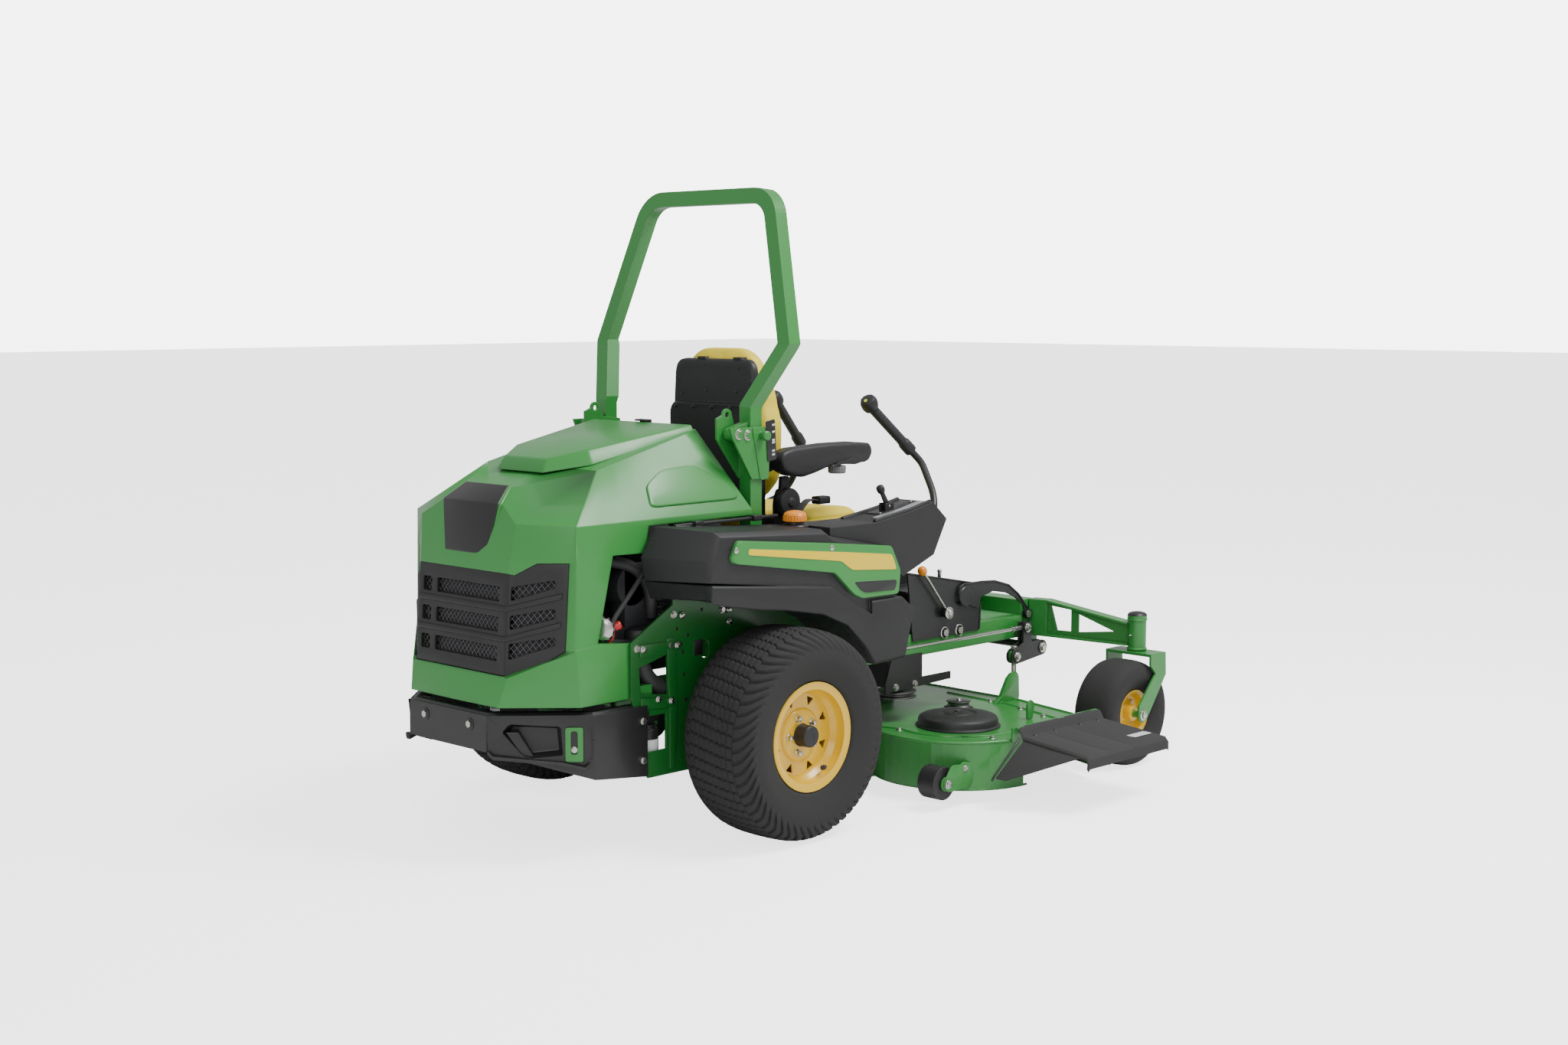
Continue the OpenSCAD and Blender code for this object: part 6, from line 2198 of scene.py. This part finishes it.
# ---------- the studio ----------


@dataclass
class Studio:
    """Pale floor, soft light and the camera."""

    lens: float = 47.48
    eye: P3 = (-4504.9, -4988.8, 1656.6)
    turn: float = -45.62
    down: float = 6.12
    floor_half: float = 60.0
    floor_tone: float = 0.92
    floor_glow: float = 2.3
    light_around: float = 0.66
    light_shown: float = 6.0

    def camera(self) -> None:
        """Places the camera."""
        data = bpy.data.cameras.new("view")
        data.lens, data.sensor_width, data.clip_end = self.lens, 36.0, 200.0
        cam = bpy.data.objects.new("view", data)
        cam.location = at(*self.eye)
        cam.rotation_euler = (math.radians(90 - self.down), 0.0, math.radians(self.turn))
        bpy.context.scene.collection.objects.link(cam)
        bpy.context.scene.camera = cam

    def floor(self) -> None:
        """Lays the pale floor."""
        mesh = bpy.data.meshes.new("floor")
        h = self.floor_half
        mesh.from_pydata([(-h, -h, 0), (h, -h, 0), (h, h, 0), (-h, h, 0)], [], [(0, 1, 2, 3)])
        mat = bpy.data.materials.new("pale_floor")
        mat.use_nodes = True
        net = Net(mat.node_tree)
        shader = net.tree.nodes["Principled BSDF"]
        for key, value in (("Base Color", (*[self.floor_tone] * 3, 1)), ("Roughness", 0.9),
                           ("Specular IOR Level", 0.1)):
            shader.inputs[key].default_value = value
        glow = net.node("Emission", {"Strength": self.floor_glow})
        both, path, mix = (net.node(kind) for kind in ("AddShader", "LightPath", "MixShader"))
        net.wire((shader, 0, both, 0), (glow, 0, both, 1), (path, "Is Camera Ray", mix, 0), (shader, 0, mix, 1),
                 (both, 0, mix, 2), (mix, 0, net.tree.nodes["Material Output"], 0))
        mesh.materials.append(mat)
        obj = bpy.data.objects.new("floor", mesh)
        bpy.context.scene.collection.objects.link(obj)

    def lamp(self, name: str, place: P3, aim: P3, size: float, power: float) -> None:
        """Adds a square soft lamp.

        Args:
            name: The lamp's name.
            place: Where it hangs, in metres.
            aim: The point it faces, in metres.
            size: Its width in metres.
            power: Its power in watts.
        """
        data = bpy.data.lights.new(name, "AREA")
        data.shape, data.size, data.energy = "SQUARE", size, power
        obj = bpy.data.objects.new(name, data)
        obj.location = place
        obj.rotation_euler = (Vector(aim) - Vector(place)).to_track_quat("-Z", "Y").to_euler()
        bpy.context.scene.collection.objects.link(obj)

    def light(self) -> None:
        """Sets the surrounding light and the lamps."""
        world = bpy.data.worlds.new("studio")
        bpy.context.scene.world = world
        world.use_nodes = True
        net = Net(world.node_tree)
        back = net.tree.nodes["Background"]
        back.inputs["Color"].default_value = (1, 1, 1, 1)
        back.inputs["Strength"].default_value = self.light_around
        shown = net.node("Background", {"Color": (1, 1, 1, 1), "Strength": self.light_shown})
        path, mix = net.node("LightPath"), net.node("MixShader")
        net.wire((path, "Is Camera Ray", mix, 0), (back, 0, mix, 1), (shown, 0, mix, 2),
                 (mix, 0, net.tree.nodes["World Output"], 0))
        self.lamp("key", (1.6, -3.0, 5.8), (0, 0, 0.4), 2.6, 400)
        self.lamp("rear", (-5.0, -3.2, 3.4), (0, 0, 0.8), 3.0, 90)

    def make(self) -> None:
        """Sets up everything that isn't the machine."""
        self.camera()
        self.floor()
        self.light()


CAD_FINISH = {
    "green_paint": GREEN, "black_steel": COAT_BLACK, "black_plastic": PLASTIC, "chute_rubber": FLAP,
    "tyre_rubber": RUBBER, "yellow_paint": YELLOW, "seat_vinyl": VINYL, "bright_steel": PLATED,
    "blade_steel": STEEL, "engine_iron": IRON, "cap_orange": ORANGE, "grey_plastic": GREY,
    "button_lime": LIME, "floor_green": FLOOR_GREEN,
}


def dress_cad() -> None:
    """Gives every CAD node the finish of its slot, except the side plates, which get the deep green."""
    slots = {s["node"]: s["material_slot"] for s in frame["record"]["subparts"]}
    for name, obj in frame["nodes"].items():
        finish = DEEP_GREEN if name == "side_plates" else CAD_FINISH[slots[name]]
        obj.data.materials.clear()
        obj.data.materials.append(finish.material())
        LOG.info("dressed %s as %s", name, finish.name)


def main() -> None:
    """Builds the machine's looks in order and keeps its sizes."""
    logging.basicConfig(level=logging.INFO)
    Studio().make()
    dress_cad()
    parts: list[SubAssembly] = []
    for side in Side:
        parts += [DriveWheel(side), Caster(side)]
    parts += [Hood(), Grille(), Bumper(), Seat(), Filler(), EngineBay(), RollBarTrim(), DeckDress(), LiftDress(),
              FrontDress()]
    for side in Side:
        parts += [Lever(side), Fender(side), Console(side)]
    for part in parts:
        for piece in part.make():
            LOG.info("made %s", piece.name)


if __name__ == "__main__":
    main()
